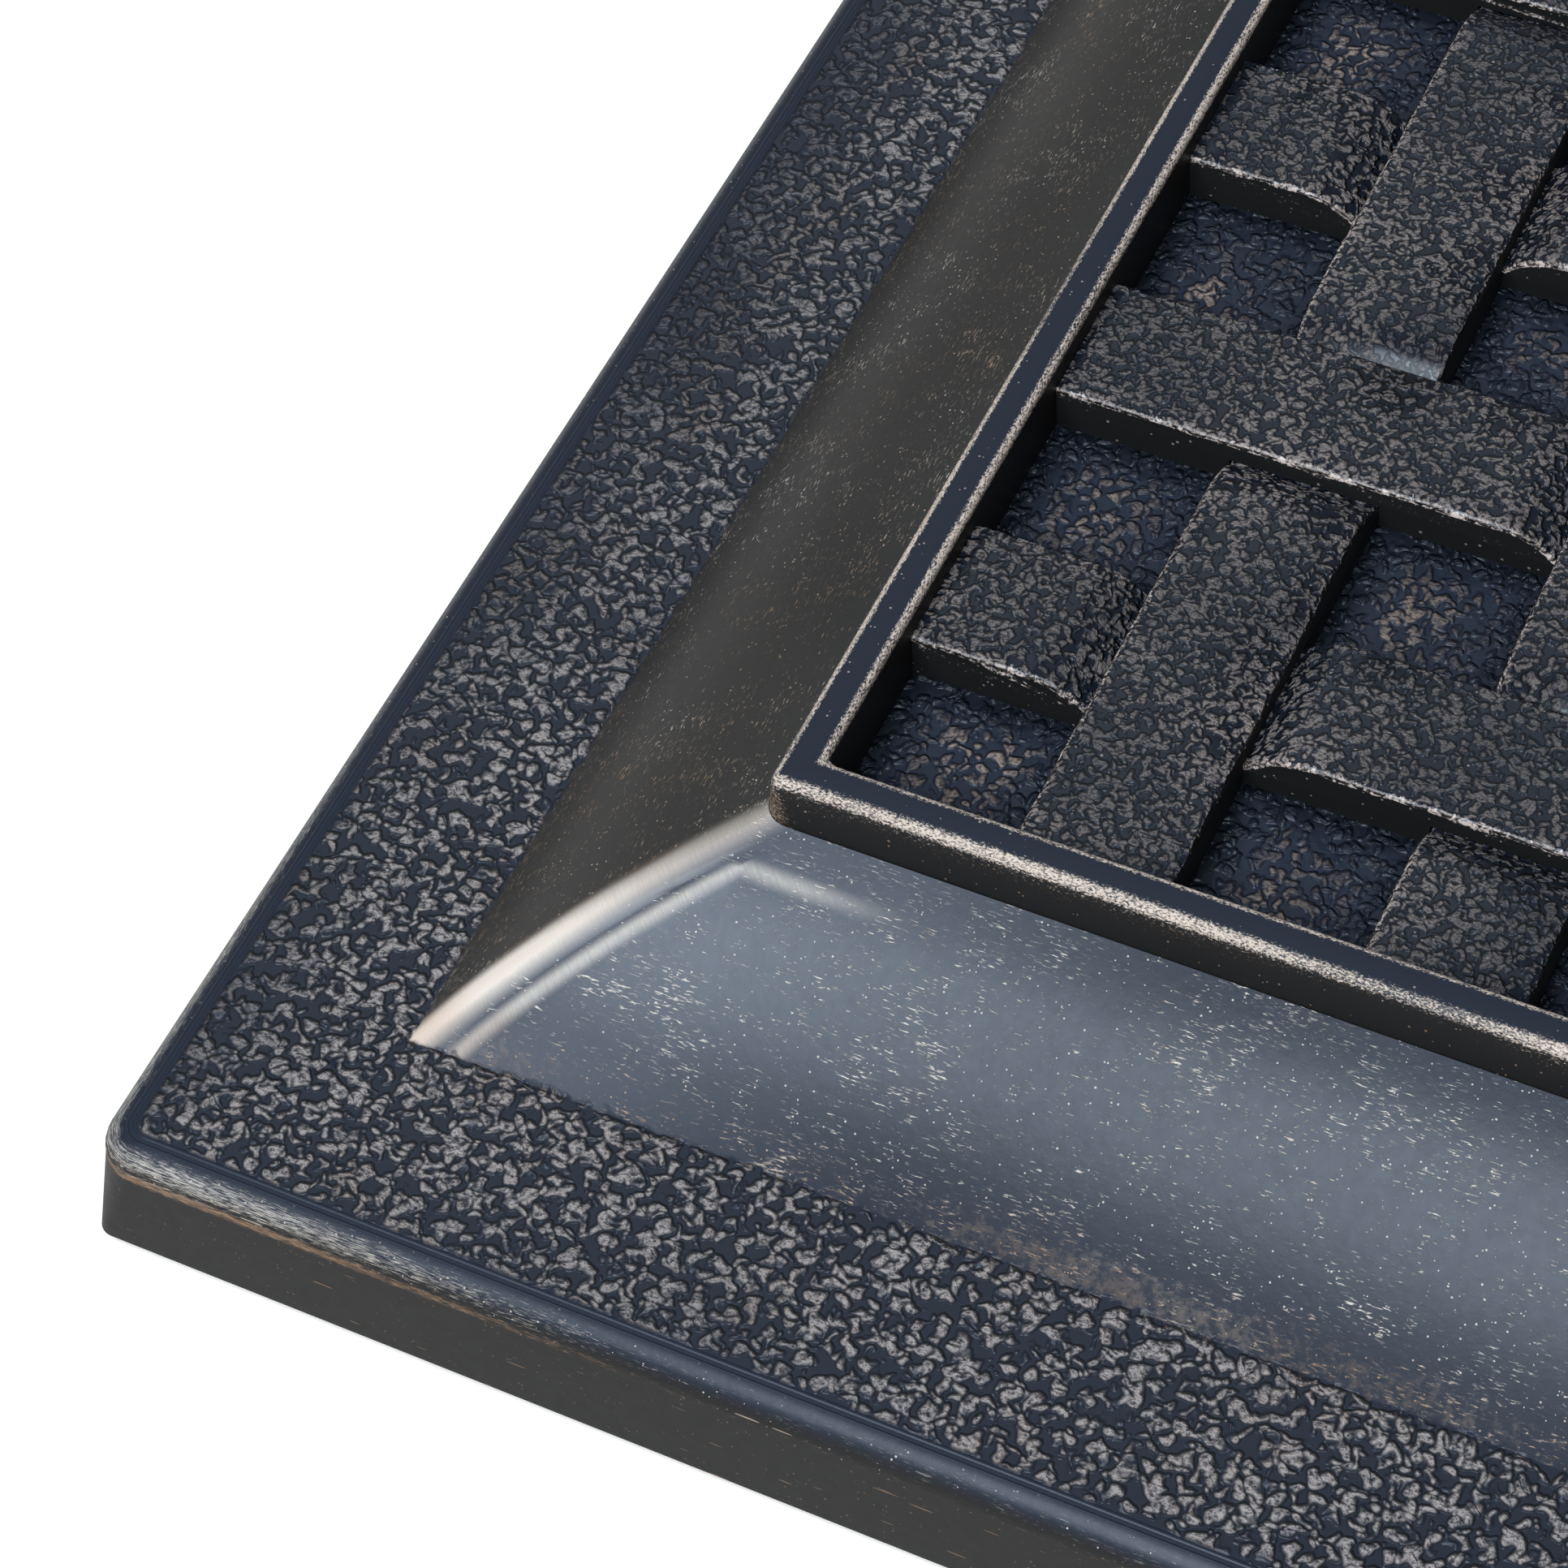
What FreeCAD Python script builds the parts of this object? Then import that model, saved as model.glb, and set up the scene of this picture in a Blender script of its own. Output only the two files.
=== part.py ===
import FreeCAD, Part
import math
import os

# Door mat: a moulded border round a raised scraper panel of woven flat strips.
# Millimetres, +Z up. The origin is on the ground under the middle of the mat,
# the long side runs along X. "Inset" is always the distance in from the foot
# of the outer wall, and "seat" is where one piece rests on another.

# Overall
mat_length = 760.0
mat_width = 442.0
foot_proud = 1.0

# Border: outer wall, flat band, bulging slope
wall_height = 11.2
wall_draft = 0.9
wall_thickness = 3.5
band_width = 17.6
slope_width = 20.0
slope_rise = 13.1
slope_bulge = 1.55
shell_thickness = 3.5
slope_shell_shift = 1.75
edge_round = 2.5
corner_round = 2.6
ledge_thickness = 3.0
leg_thickness = 3.0
leg_inset_past_rim = 3.5
border_rib_thickness = 2.0
border_ribs_long = 9
border_ribs_short = 5

# Retaining rim that stands round the panel
rim_height = 4.2
rim_batter = 0.7
rim_top_width = 3.1
rim_fit_clearance = 0.1
rim_outer_arris_round = 0.8
rim_inner_arris_round = 0.5
rim_corner_round = 2.0

# Panel tray: pebbled floor on a grid of ribs
floor_below_slope = 2.5
tray_thickness = 3.0
tray_fit_clearance = 0.3
tray_rib_thickness = 2.4
tray_ribs_across_length = 12
tray_ribs_across_width = 6

# Woven strips
warp_count = 25
weft_count = 13
strip_width = 12.0
strip_height = 4.15
strip_arris_round = 0.35
dive_length = 5.0
lap_clearance = 0.1
tongue_height = 1.6
tongue_length = 2.2
tongue_clearance = 0.15

# Pegs moulded under the rim and the push-on retainers that hold them
peg_diameter = 2.4
peg_clearance = 0.2
peg_tail = 2.0
pegs_long = 10
pegs_short = 6
retainer_diameter = 6.4
retainer_thickness = 0.6
retainer_clearance = 0.05

# Grip feet pressed into bosses
foot_diameter = 15.0
foot_thickness = 3.0
foot_clearance = 0.3
foot_edge_chamfer = 0.5
stem_diameter = 6.0
stem_length = 6.0
stem_clearance = 0.05
boss_wall = 3.0
feet_between_corners_long = 2
feet_between_corners_short = 1
feet_under_panel = 3

# Insets from the foot of the outer wall
band_edge = wall_draft
slope_foot = band_edge + band_width
slope_top_inset = slope_foot + slope_width
rim_outer = slope_top_inset + rim_fit_clearance
rim_inner = slope_top_inset + rim_batter + rim_top_width
rim_middle = (rim_outer + rim_inner) / 2
leg_outer = rim_inner + leg_inset_past_rim
leg_inner = leg_outer + leg_thickness
foot_inset = (wall_thickness + leg_outer) / 2

# Heights above the ground
z_wall_foot = foot_proud
z_band = z_wall_foot + wall_height
z_slope_top = z_band + slope_rise
z_rim_top = z_slope_top + rim_height
z_floor = z_slope_top - floor_below_slope
z_tray_seat = z_floor - tray_thickness
z_ledge_bottom = z_tray_seat - ledge_thickness
z_strip_top = z_floor + strip_height
z_lap = z_floor + strip_height / 2
z_dive = z_lap - lap_clearance

# The weave: both gaps follow from the opening and the number of strips
opening_length = mat_length - 2 * rim_inner
opening_width = mat_width - 2 * rim_inner
warp_gap = (opening_length - warp_count * strip_width) / (warp_count + 1)
weft_gap = (opening_width - weft_count * strip_width) / (weft_count + 1)
warp_pitch = warp_gap + strip_width
weft_pitch = weft_gap + strip_width

# How far cutting tools reach past what they cut, and how close counts as touching
cut_margin = 5.0
touch = 0.01


def vector(x, y, z):
    return FreeCAD.Vector(x, y, z)


def centred(count, pitch):
    """Places of a row of equal steps, centred on zero."""
    return [(i - (count - 1) / 2) * pitch for i in range(count)]


warp_places = centred(warp_count, warp_pitch)
weft_places = centred(weft_count, weft_pitch)
warp_gap_places = centred(warp_count + 1, warp_pitch)
weft_gap_places = centred(weft_count + 1, weft_pitch)


def inset_box(inset, z_low, z_high):
    """Block with the plan of the mat less the inset on every side."""
    length = mat_length - 2 * inset
    width = mat_width - 2 * inset
    return Part.makeBox(length, width, z_high - z_low, vector(-length / 2, -width / 2, z_low))


def wall_to_wall(segments, span):
    """Face across the mat: the segments at one end, mirrored at the other."""
    near = [[vector(inset - span / 2, 0, z) for inset, z in segment] for segment in segments]
    far = [[vector(-point.x, 0, point.z) for point in reversed(segment)] for segment in reversed(near)]
    edges = []
    for points in near + far:
        curve = Part.LineSegment(*points) if len(points) == 2 else Part.Arc(*points)
        edges.append(curve.toShape())
    edges.append(Part.makeLine(near[-1][-1], far[0][0]))
    edges.append(Part.makeLine(far[-1][-1], near[0][0]))
    return Part.Face(Part.Wire(Part.__sortEdges__(edges)))


def hip_block(segments):
    """Solid whose four sides rise by the same outline and meet in mitres."""
    long_face = wall_to_wall(segments, mat_length)
    long_face.translate(vector(0, -mat_width / 2 - cut_margin, 0))
    long_prism = long_face.extrude(vector(0, mat_width + 2 * cut_margin, 0))
    short_face = wall_to_wall(segments, mat_width)
    short_face.rotate(vector(0, 0, 0), vector(0, 0, 1), 90)
    short_face.translate(vector(-mat_length / 2 - cut_margin, 0, 0))
    short_prism = short_face.extrude(vector(mat_length + 2 * cut_margin, 0, 0))
    return long_prism.common(short_prism)


def bulge_point(start, end, bulge):
    """Middle of the arc that stands out by bulge above the straight line."""
    run = end[0] - start[0]
    rise = end[1] - start[1]
    chord = math.hypot(run, rise)
    inset = (start[0] + end[0]) / 2 - bulge * rise / chord
    z = (start[1] + end[1]) / 2 + bulge * run / chord
    return (inset, z)


def upright(x, y, radius, z_low, z_high):
    return Part.makeCylinder(radius, z_high - z_low, vector(x, y, z_low))


def compound_cut(solid, tools):
    """Cut many tools that may touch each other."""
    return solid.cut(Part.makeCompound(tools)) if tools else solid


def nearest(places, target):
    return min(places, key=lambda place: abs(place - target))


def spread(count, span):
    """Middles of count equal shares of the span, centred on zero."""
    return centred(count, span / count)


def side_places(long_targets, short_targets, inset):
    """Points on the four sides of the rectangle that lies inset from the foot."""
    x_side = mat_length / 2 - inset
    y_side = mat_width / 2 - inset
    points = [(x, side * y_side) for side in (-1, 1) for x in long_targets]
    points += [(side * x_side, y) for side in (-1, 1) for y in short_targets]
    return points


def peg_places():
    long_targets = [nearest(warp_gap_places, x) for x in spread(pegs_long, opening_length)]
    short_targets = [nearest(weft_gap_places, y) for y in spread(pegs_short, opening_width)]
    return side_places(long_targets, short_targets, rim_middle)


def border_foot_places():
    x_corner = mat_length / 2 - foot_inset
    y_corner = mat_width / 2 - foot_inset
    steps_long = feet_between_corners_long + 1
    steps_short = feet_between_corners_short + 1
    long_targets = [x_corner * (2 * i / steps_long - 1) for i in range(steps_long + 1)]
    short_targets = [y_corner * (2 * i / steps_short - 1) for i in range(1, steps_short)]
    return side_places(long_targets, short_targets, foot_inset)


def panel_foot_places():
    return [(x, 0) for x in spread(feet_under_panel, opening_length)]


def foot_rooms(places):
    """Room for the feet: a round recess with the stem's hole above it."""
    rooms = []
    for x, y in places:
        recess_radius = foot_diameter / 2 + foot_clearance
        rooms.append(upright(x, y, recess_radius, z_wall_foot - cut_margin, foot_thickness))
        hole_radius = stem_diameter / 2 + stem_clearance
        hole_top = foot_thickness + stem_length + foot_clearance
        rooms.append(upright(x, y, hole_radius, foot_thickness, hole_top))
    return rooms


def bosses(places, z_top):
    radius = stem_diameter / 2 + boss_wall
    return [upright(x, y, radius, foot_thickness, z_top) for x, y in places]


def corner_edges(solid, half_length, half_width, reach):
    """Near-vertical edges at the four corners of a rectangle."""
    found = []
    for edge in solid.Edges:
        ends = [vertex.Point for vertex in edge.Vertexes]
        if len(ends) < 2 or abs(ends[0].z - ends[1].z) < reach:
            continue
        at_side = all(abs(abs(point.x) - half_length) < reach for point in ends)
        at_end = all(abs(abs(point.y) - half_width) < reach for point in ends)
        if at_side and at_end:
            found.append(edge)
    return found


def loop_edges(solid, half_length, half_width, z):
    """Edges at one height on the outline of a rectangle, its round corners included."""
    found = []
    for edge in solid.Edges:
        box = edge.BoundBox
        level = abs(box.ZMin - z) < touch and abs(box.ZMax - z) < touch
        far_x = max(abs(box.XMin), abs(box.XMax))
        far_y = max(abs(box.YMin), abs(box.YMax))
        on_outline = abs(far_x - half_length) < touch or abs(far_y - half_width) < touch
        if level and on_outline:
            found.append(edge)
    return found


def border_skin():
    """Outside of the border: wall with draft, flat band and slope, edges rounded."""
    foot = (0, z_wall_foot)
    band_start = (band_edge, z_band)
    slope_start = (slope_foot, z_band)
    slope_end = (slope_top_inset, z_slope_top)
    slope_middle = bulge_point(slope_start, slope_end, slope_bulge)
    outline = [(foot, band_start), (band_start, slope_start), (slope_start, slope_middle, slope_end)]
    block = hip_block(outline)
    half_length = mat_length / 2 - band_edge
    half_width = mat_width / 2 - band_edge
    block = block.makeFillet(corner_round, corner_edges(block, half_length, half_width, 2 * wall_draft))
    return block.makeFillet(edge_round, loop_edges(block, half_length, half_width, z_band))


def border_hollow():
    """Channel under the border, between the wall and the inner leg."""
    z_under_band = z_band - shell_thickness
    z_start = z_wall_foot - cut_margin
    under_start = (slope_foot + slope_shell_shift, z_under_band)
    under_end = (slope_top_inset - slope_shell_shift, z_ledge_bottom)
    outline = [
        ((wall_thickness, z_start), (wall_thickness + band_edge, z_under_band)),
        ((wall_thickness + band_edge, z_under_band), under_start),
        (under_start, under_end),
    ]
    return hip_block(outline).cut(inset_box(leg_outer, z_start - cut_margin, z_slope_top))


def border_frame():
    hollow = border_hollow()
    z_start = z_wall_foot - cut_margin
    ribs = []
    for target in spread(border_ribs_long, opening_length):
        x = nearest(warp_places, target) - border_rib_thickness / 2
        size = (border_rib_thickness, mat_width, z_slope_top - z_start)
        ribs.append(Part.makeBox(*size, vector(x, -mat_width / 2, z_start)))
    for target in spread(border_ribs_short, opening_width):
        y = nearest(weft_places, target) - border_rib_thickness / 2
        size = (mat_length, border_rib_thickness, z_slope_top - z_start)
        ribs.append(Part.makeBox(*size, vector(-mat_length / 2, y, z_start)))
    places = border_foot_places()
    hollow = compound_cut(hollow, ribs)
    hollow = compound_cut(hollow, bosses(places, z_slope_top))
    seat = inset_box(slope_top_inset, z_tray_seat, z_rim_top)
    middle = inset_box(leg_inner, z_start, z_rim_top)
    frame = border_skin().cut(hollow)
    frame = frame.cut(seat).cut(middle)
    frame = compound_cut(frame, foot_rooms(places))
    hole = peg_diameter / 2 + peg_clearance
    holes = [upright(x, y, hole, z_start, z_rim_top) for x, y in peg_places()]
    return compound_cut(frame, holes)


def rim_frame():
    """Rim round the panel, with pockets for the strips' tongues and pegs below."""
    outline = [
        ((rim_outer, z_floor), (rim_outer, z_slope_top)),
        ((rim_outer, z_slope_top), (slope_top_inset + rim_batter, z_rim_top)),
    ]
    block = hip_block(outline).cut(inset_box(rim_inner, z_floor - cut_margin, z_rim_top + cut_margin))
    outer = slope_top_inset + rim_batter
    outer_half = (mat_length / 2 - outer, mat_width / 2 - outer)
    inner_half = (opening_length / 2, opening_width / 2)
    corners = corner_edges(block, *outer_half, 2 * rim_batter)
    corners += corner_edges(block, *inner_half, rim_batter)
    block = block.makeFillet(rim_corner_round, corners)
    block = block.makeFillet(rim_outer_arris_round, loop_edges(block, *outer_half, z_rim_top))
    block = block.makeFillet(rim_inner_arris_round, loop_edges(block, *inner_half, z_rim_top))
    pockets = []
    pocket_width = strip_width + 2 * tongue_clearance
    pocket_height = tongue_height + tongue_clearance
    reach = tongue_length + tongue_clearance
    for x in warp_places:
        size = (pocket_width, opening_width + 2 * reach, pocket_height)
        pockets.append(Part.makeBox(*size, vector(x - pocket_width / 2, -size[1] / 2, z_floor)))
    for y in weft_places:
        size = (opening_length + 2 * reach, pocket_width, pocket_height)
        pockets.append(Part.makeBox(*size, vector(-size[0] / 2, y - pocket_width / 2, z_floor)))
    block = compound_cut(block, pockets)
    pegs = [upright(x, y, peg_diameter / 2, z_ledge_bottom - peg_tail, z_floor + tongue_height)
            for x, y in peg_places()]
    return block.fuse(pegs)


def rim_retainers():
    """Push-on rings under the ledge, one on each peg."""
    rings = []
    for x, y in peg_places():
        z_low = z_ledge_bottom - retainer_thickness
        ring = upright(x, y, retainer_diameter / 2, z_low, z_ledge_bottom)
        bore_radius = peg_diameter / 2 + retainer_clearance
        bore = upright(x, y, bore_radius, z_low - cut_margin, z_ledge_bottom + cut_margin)
        rings.append(ring.cut(bore))
    return Part.makeCompound(rings)


def panel_tray():
    """Floor of the panel with the rib grid that carries it."""
    plate = inset_box(slope_top_inset + tray_fit_clearance, z_tray_seat, z_floor)
    skirt_outer = leg_inner + tray_fit_clearance
    skirt = inset_box(skirt_outer, z_wall_foot, z_tray_seat)
    skirt = skirt.cut(inset_box(skirt_outer + tray_rib_thickness, 0, z_floor))
    length = mat_length - 2 * skirt_outer
    width = mat_width - 2 * skirt_outer
    rib_height = z_tray_seat - z_wall_foot
    ribs = []
    for x in centred(tray_ribs_across_length, length / (tray_ribs_across_length + 1)):
        corner = vector(x - tray_rib_thickness / 2, -width / 2, z_wall_foot)
        ribs.append(Part.makeBox(tray_rib_thickness, width, rib_height, corner))
    for y in centred(tray_ribs_across_width, width / (tray_ribs_across_width + 1)):
        corner = vector(-length / 2, y - tray_rib_thickness / 2, z_wall_foot)
        ribs.append(Part.makeBox(length, tray_rib_thickness, rib_height, corner))
    places = panel_foot_places()
    tray = plate.fuse([skirt] + ribs + bosses(places, z_tray_seat))
    tray = compound_cut(tray, foot_rooms(places))
    hole = peg_diameter / 2 + peg_clearance
    holes = [upright(x, y, hole, z_tray_seat - cut_margin, z_floor + cut_margin) for x, y in peg_places()]
    return compound_cut(tray, holes).removeSplitter()


def grip_feet():
    feet = []
    for x, y in border_foot_places() + panel_foot_places():
        disc = upright(x, y, foot_diameter / 2, 0, foot_thickness)
        disc = disc.makeChamfer(foot_edge_chamfer, [disc.Edges[2]])
        stem = upright(x, y, stem_diameter / 2, foot_thickness, foot_thickness + stem_length)
        feet.append(disc.fuse(stem).removeSplitter())
    return Part.makeCompound(feet)


def dive_middle(low_s, high_s):
    """Point half way along the round shoulder from the dive up to the flat top."""
    drop = z_strip_top - z_dive
    radius = (dive_length ** 2 + drop ** 2) / (2 * drop)
    half_turn = math.asin(dive_length / radius) / 2
    direction = math.copysign(1, low_s - high_s)
    s = high_s + direction * radius * math.sin(half_turn)
    return (s, z_strip_top - radius * (1 - math.cos(half_turn)))


def strip_outline(crossings, opening):
    """Side view of a strip: (place, goes_over) for each crossing, tongues at the ends."""
    half = strip_width / 2 + lap_clearance
    end = opening / 2
    tip = end + tongue_length
    top = [((-tip, z_floor), (-tip, z_floor + tongue_height)),
           ((-tip, z_floor + tongue_height), (-end, z_floor + tongue_height)),
           ((-end, z_floor + tongue_height), (-end, z_strip_top))]
    last = (-end, z_strip_top)
    for place, goes_over in crossings:
        if goes_over:
            continue
        near_dive = (place - half, z_dive)
        far_dive = (place + half, z_dive)
        near_flat = (place - half - dive_length, z_strip_top)
        far_flat = (place + half + dive_length, z_strip_top)
        top.append((last, near_flat))
        top.append((near_flat, dive_middle(near_dive[0], near_flat[0]), near_dive))
        top.append((near_dive, far_dive))
        top.append((far_dive, dive_middle(far_dive[0], far_flat[0]), far_flat))
        last = far_flat
    top.append((last, (end, z_strip_top)))
    top.append(((end, z_strip_top), (end, z_floor + tongue_height)))
    top.append(((end, z_floor + tongue_height), (tip, z_floor + tongue_height)))
    top.append(((tip, z_floor + tongue_height), (tip, z_floor)))
    bottom = []
    last = (tip, z_floor)
    z_notch = z_lap + lap_clearance
    for place, goes_over in reversed(crossings):
        if not goes_over:
            continue
        corners = [(place + half, z_floor), (place + half, z_notch),
                   (place - half, z_notch), (place - half, z_floor)]
        for corner in corners:
            bottom.append((last, corner))
            last = corner
    bottom.append((last, (-tip, z_floor)))
    return top + bottom


def strip(crossings, opening):
    """A strip along X, centred on Y zero, with its top arrises rounded."""
    edges = []
    for segment in strip_outline(crossings, opening):
        points = [vector(s, -strip_width / 2, z) for s, z in segment]
        curve = Part.LineSegment(*points) if len(points) == 2 else Part.Arc(*points)
        edges.append(curve.toShape())
    body = Part.Face(Part.Wire(edges)).extrude(vector(0, strip_width, 0))
    arrises = []
    for edge in body.Edges:
        box = edge.BoundBox
        on_side = box.YMax - box.YMin < touch
        shows = box.ZMax > z_strip_top - touch and box.XMax - box.XMin > touch
        if on_side and shows:
            arrises.append(edge)
    return body.makeFillet(strip_arris_round, arrises)


def warp_strip(column):
    crossings = [(y, (column + row) % 2 == 0) for row, y in enumerate(weft_places)]
    body = strip(crossings, opening_width)
    body.rotate(vector(0, 0, 0), vector(0, 0, 1), 90)
    body.translate(vector(warp_places[column], 0, 0))
    return body


def weft_strip(row):
    crossings = [(x, (column + row) % 2 == 1) for column, x in enumerate(warp_places)]
    body = strip(crossings, opening_length)
    body.translate(vector(0, weft_places[row], 0))
    return body


def save(name, shape):
    shape.exportStep(f"parts/{name}.step")
    print(f"{name:16s} solids {len(shape.Solids):3d}  volume {shape.Volume:12.1f}  valid {shape.isValid()}")


os.makedirs("parts", exist_ok=True)
save("border_frame", border_frame())
save("panel_tray", panel_tray())
save("rim_frame", rim_frame())
save("rim_retainers", rim_retainers())
save("grip_feet", grip_feet())
for number in range(warp_count):
    save(f"warp_strip_{number + 1:02d}", warp_strip(number))
for number in range(weft_count):
    save(f"weft_strip_{number + 1:02d}", weft_strip(number))
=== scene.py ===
import math

import bmesh
import bpy
from bpy.props import FloatProperty, FloatVectorProperty, IntProperty, PointerProperty
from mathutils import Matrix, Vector


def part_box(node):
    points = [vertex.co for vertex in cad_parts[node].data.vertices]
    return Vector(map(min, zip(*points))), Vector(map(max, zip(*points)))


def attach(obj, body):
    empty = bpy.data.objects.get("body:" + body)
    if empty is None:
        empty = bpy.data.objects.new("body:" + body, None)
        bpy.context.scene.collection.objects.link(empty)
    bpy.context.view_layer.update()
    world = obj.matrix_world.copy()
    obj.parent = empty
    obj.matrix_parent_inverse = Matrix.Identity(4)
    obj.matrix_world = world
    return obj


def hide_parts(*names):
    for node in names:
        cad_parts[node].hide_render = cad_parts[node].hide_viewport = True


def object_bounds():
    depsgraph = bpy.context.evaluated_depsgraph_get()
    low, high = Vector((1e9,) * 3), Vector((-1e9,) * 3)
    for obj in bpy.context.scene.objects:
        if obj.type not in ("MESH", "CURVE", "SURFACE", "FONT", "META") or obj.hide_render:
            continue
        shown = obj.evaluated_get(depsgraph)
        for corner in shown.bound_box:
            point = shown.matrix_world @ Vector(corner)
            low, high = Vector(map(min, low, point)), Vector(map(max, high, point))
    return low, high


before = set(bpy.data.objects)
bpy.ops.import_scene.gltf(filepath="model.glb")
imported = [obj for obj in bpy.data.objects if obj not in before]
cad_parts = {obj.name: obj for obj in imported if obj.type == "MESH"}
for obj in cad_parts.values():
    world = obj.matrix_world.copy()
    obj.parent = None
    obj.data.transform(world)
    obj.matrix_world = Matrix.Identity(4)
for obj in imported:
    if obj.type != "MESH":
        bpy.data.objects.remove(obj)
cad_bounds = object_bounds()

bl_info = {
    "name": "Woven Scraper Door Mat",
    "version": (1, 0, 0),
    "blender": (4, 5, 0),
    "location": "View3D > Sidebar > Door Mat",
    "description": "Moulded rubber door mat with a hipped border round a woven scraper panel",
    "category": "Add Mesh",
}

# Metres, +Z up, the origin on the ground under the middle of the mat and the
# long side along X. "Inset" is the distance in from the foot of the outer
# wall. Pieces that look the same at all four corners are modelled at the
# corner of lowest X and Y and mirrored.

MM = 0.001
MAT_LOW, MAT_HIGH = cad_bounds
BORDER_LOW, BORDER_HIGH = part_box("border_frame")
RIM_LOW, RIM_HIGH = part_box("rim_frame")
TRAY_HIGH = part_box("panel_tray")[1]
FEET_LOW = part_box("grip_feet")[0]
FIRST_WARP = [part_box("warp_strip_01"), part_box("warp_strip_02")]
FIRST_WEFT = [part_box("weft_strip_01"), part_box("weft_strip_02")]
WARP_NODES = sorted(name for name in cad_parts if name.startswith("warp_strip"))
WEFT_NODES = sorted(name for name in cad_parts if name.startswith("weft_strip"))
MERGE_DISTANCE = 1e-6
MOULDING_SMOOTH_ANGLE = 38
STRIP_SMOOTH_ANGLE = 32
STRIP_WIDTH = FIRST_WARP[0][1].x - FIRST_WARP[0][0].x
STRIP_TOP = FIRST_WARP[0][1].z
STRIP_MIDDLE = (TRAY_HIGH.z + STRIP_TOP) / 2
WARP_PITCH = FIRST_WARP[1][0].x - FIRST_WARP[0][0].x
WEFT_PITCH = FIRST_WEFT[1][0].y - FIRST_WEFT[0][0].y
TRAY_PLATE = 3 * MM
FOOT_THICKNESS = 3 * MM
BOSS_COVER = 0.7 * MM
PEG_ROOT = 0.8 * MM
LONG_ARRIS = 3 * MM
ARRIS_CUTS = 18
ROUND_STEPS = 32

# Finish shared by the rubber pieces

RUBBER_SPECULAR = 0.22
FLOOR_SPECULAR = 0.1
COAT_ROUGHNESS = 0.2
GRAIN_COAT = 0.3
PIGMENT_COVER = 0.85
BAND_ROUND = 4.6 * MM
GRAINED_PIGMENT_LEAN = -0.12

# Lights, from the near corner of the band, in metres

LIT_PLACE = (0.1, 0.08, 0)
KEY_PLACE = (0.02, -0.62, 1.05)
KEY_SIZE = 0.8
BACK_PLACE = (-0.45, 0.75, 1.05)
BACK_SIZE = 1.0
STUDIO_FLOOR_SIZE = 6
SURROUNDINGS_TINT = (1.0, 0.98, 0.96, 1)
NEAREST_SEEN = 0.01


# Sizes and colours that a user would change

def length(name, description, default):
    return FloatProperty(name=name, description=description, default=default, unit="LENGTH", precision=5)


def colour(name, description, default):
    return FloatVectorProperty(
        name=name, description=description, default=default, subtype="COLOR", size=3, min=0, max=1)


def amount(name, description, default, **settings):
    return FloatProperty(name=name, description=description, default=default, min=0, **settings)


def count(name, description, default, least=1):
    return IntProperty(name=name, description=description, default=default, min=least)


class DoorMatBorder(bpy.types.PropertyGroup):
    wall_height: length("Wall Height", "Height of the outer wall from its foot to the band", 11.2 * MM)
    wall_draft: length("Wall Draft", "How far the outer wall leans in over its height", 0.9 * MM)
    wall_thickness: length("Wall Thickness", "Thickness of the outer wall", 3.5 * MM)
    band_width: length("Band Width", "Width of the flat pebbled band", 17.6 * MM)
    slope_width: length("Slope Width", "Width of the slope from the band to the rim", 20 * MM)
    slope_bulge: length("Slope Bulge", "How far the slope stands out from a straight line", 1.55 * MM)
    edge_round: length("Edge Round", "Radius of the arris between wall and band", 2.5 * MM)
    foot_round: length("Foot Round", "Size of the small round at the foot of the wall", 0.3 * MM)
    corner_at_foot: length("Corner at Foot", "Plan radius of the wall's corner at its foot", 1.4 * MM)
    corner_at_top: length("Corner at Top", "Plan radius of the wall's corner under the arris", 3.9 * MM)
    corner_of_band: length("Corner of Band", "Plan radius where the arris meets the band", 2.1 * MM)
    hip_at_foot: length("Hip at Foot", "Plan radius of the hip where the slope starts", 0.5 * MM)
    hip_at_top: length("Hip at Top", "Plan radius of the hip where the slope ends", 2.1 * MM)
    second_hip: length("Second Hip", "Distance of the second hip from the first, along the slope", 3.8 * MM)
    hip_valley: length("Hip Valley", "Distance of the valley between the hips", 2.4 * MM)
    second_hip_turn: length("Second Hip Turn", "Distance from the rim at which the second hip turns", 3.6 * MM)
    hip_relief: length("Hip Relief", "Height of the second hip and depth of the valley", 0.2 * MM)
    shell_thickness: length("Shell Thickness", "Thickness of the band and the slope", 3.5 * MM)
    slope_shell_shift: length("Slope Shell Shift", "Inset of the slope's underside from its top", 1.75 * MM)
    ledge_thickness: length("Ledge Thickness", "Thickness of the ledge under the panel", 3 * MM)
    leg_inset: length("Leg Inset", "Inset of the inner leg's outer face", 45.8 * MM)
    leg_thickness: length("Leg Thickness", "Thickness of the inner leg", 3 * MM)
    rib_thickness: length("Rib Thickness", "Thickness of the ribs across the channel", 2 * MM)
    ribs_long: count("Ribs Long", "Ribs across each long side", 9)
    ribs_short: count("Ribs Short", "Ribs across each short side", 5)
    boss_diameter: length("Boss Diameter", "Diameter of the bosses that hold the feet", 12 * MM)
    stem_diameter: length("Stem Diameter", "Bore of the bosses", 6.1 * MM)
    stem_depth: length("Stem Depth", "Depth of the bore from the boss's lower end", 6.3 * MM)
    feet_between_long: count("Feet Between Long", "Feet between the corners of a long side", 2, least=0)
    feet_between_short: count("Feet Between Short", "Feet between the corners of a short side", 1, least=0)


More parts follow.
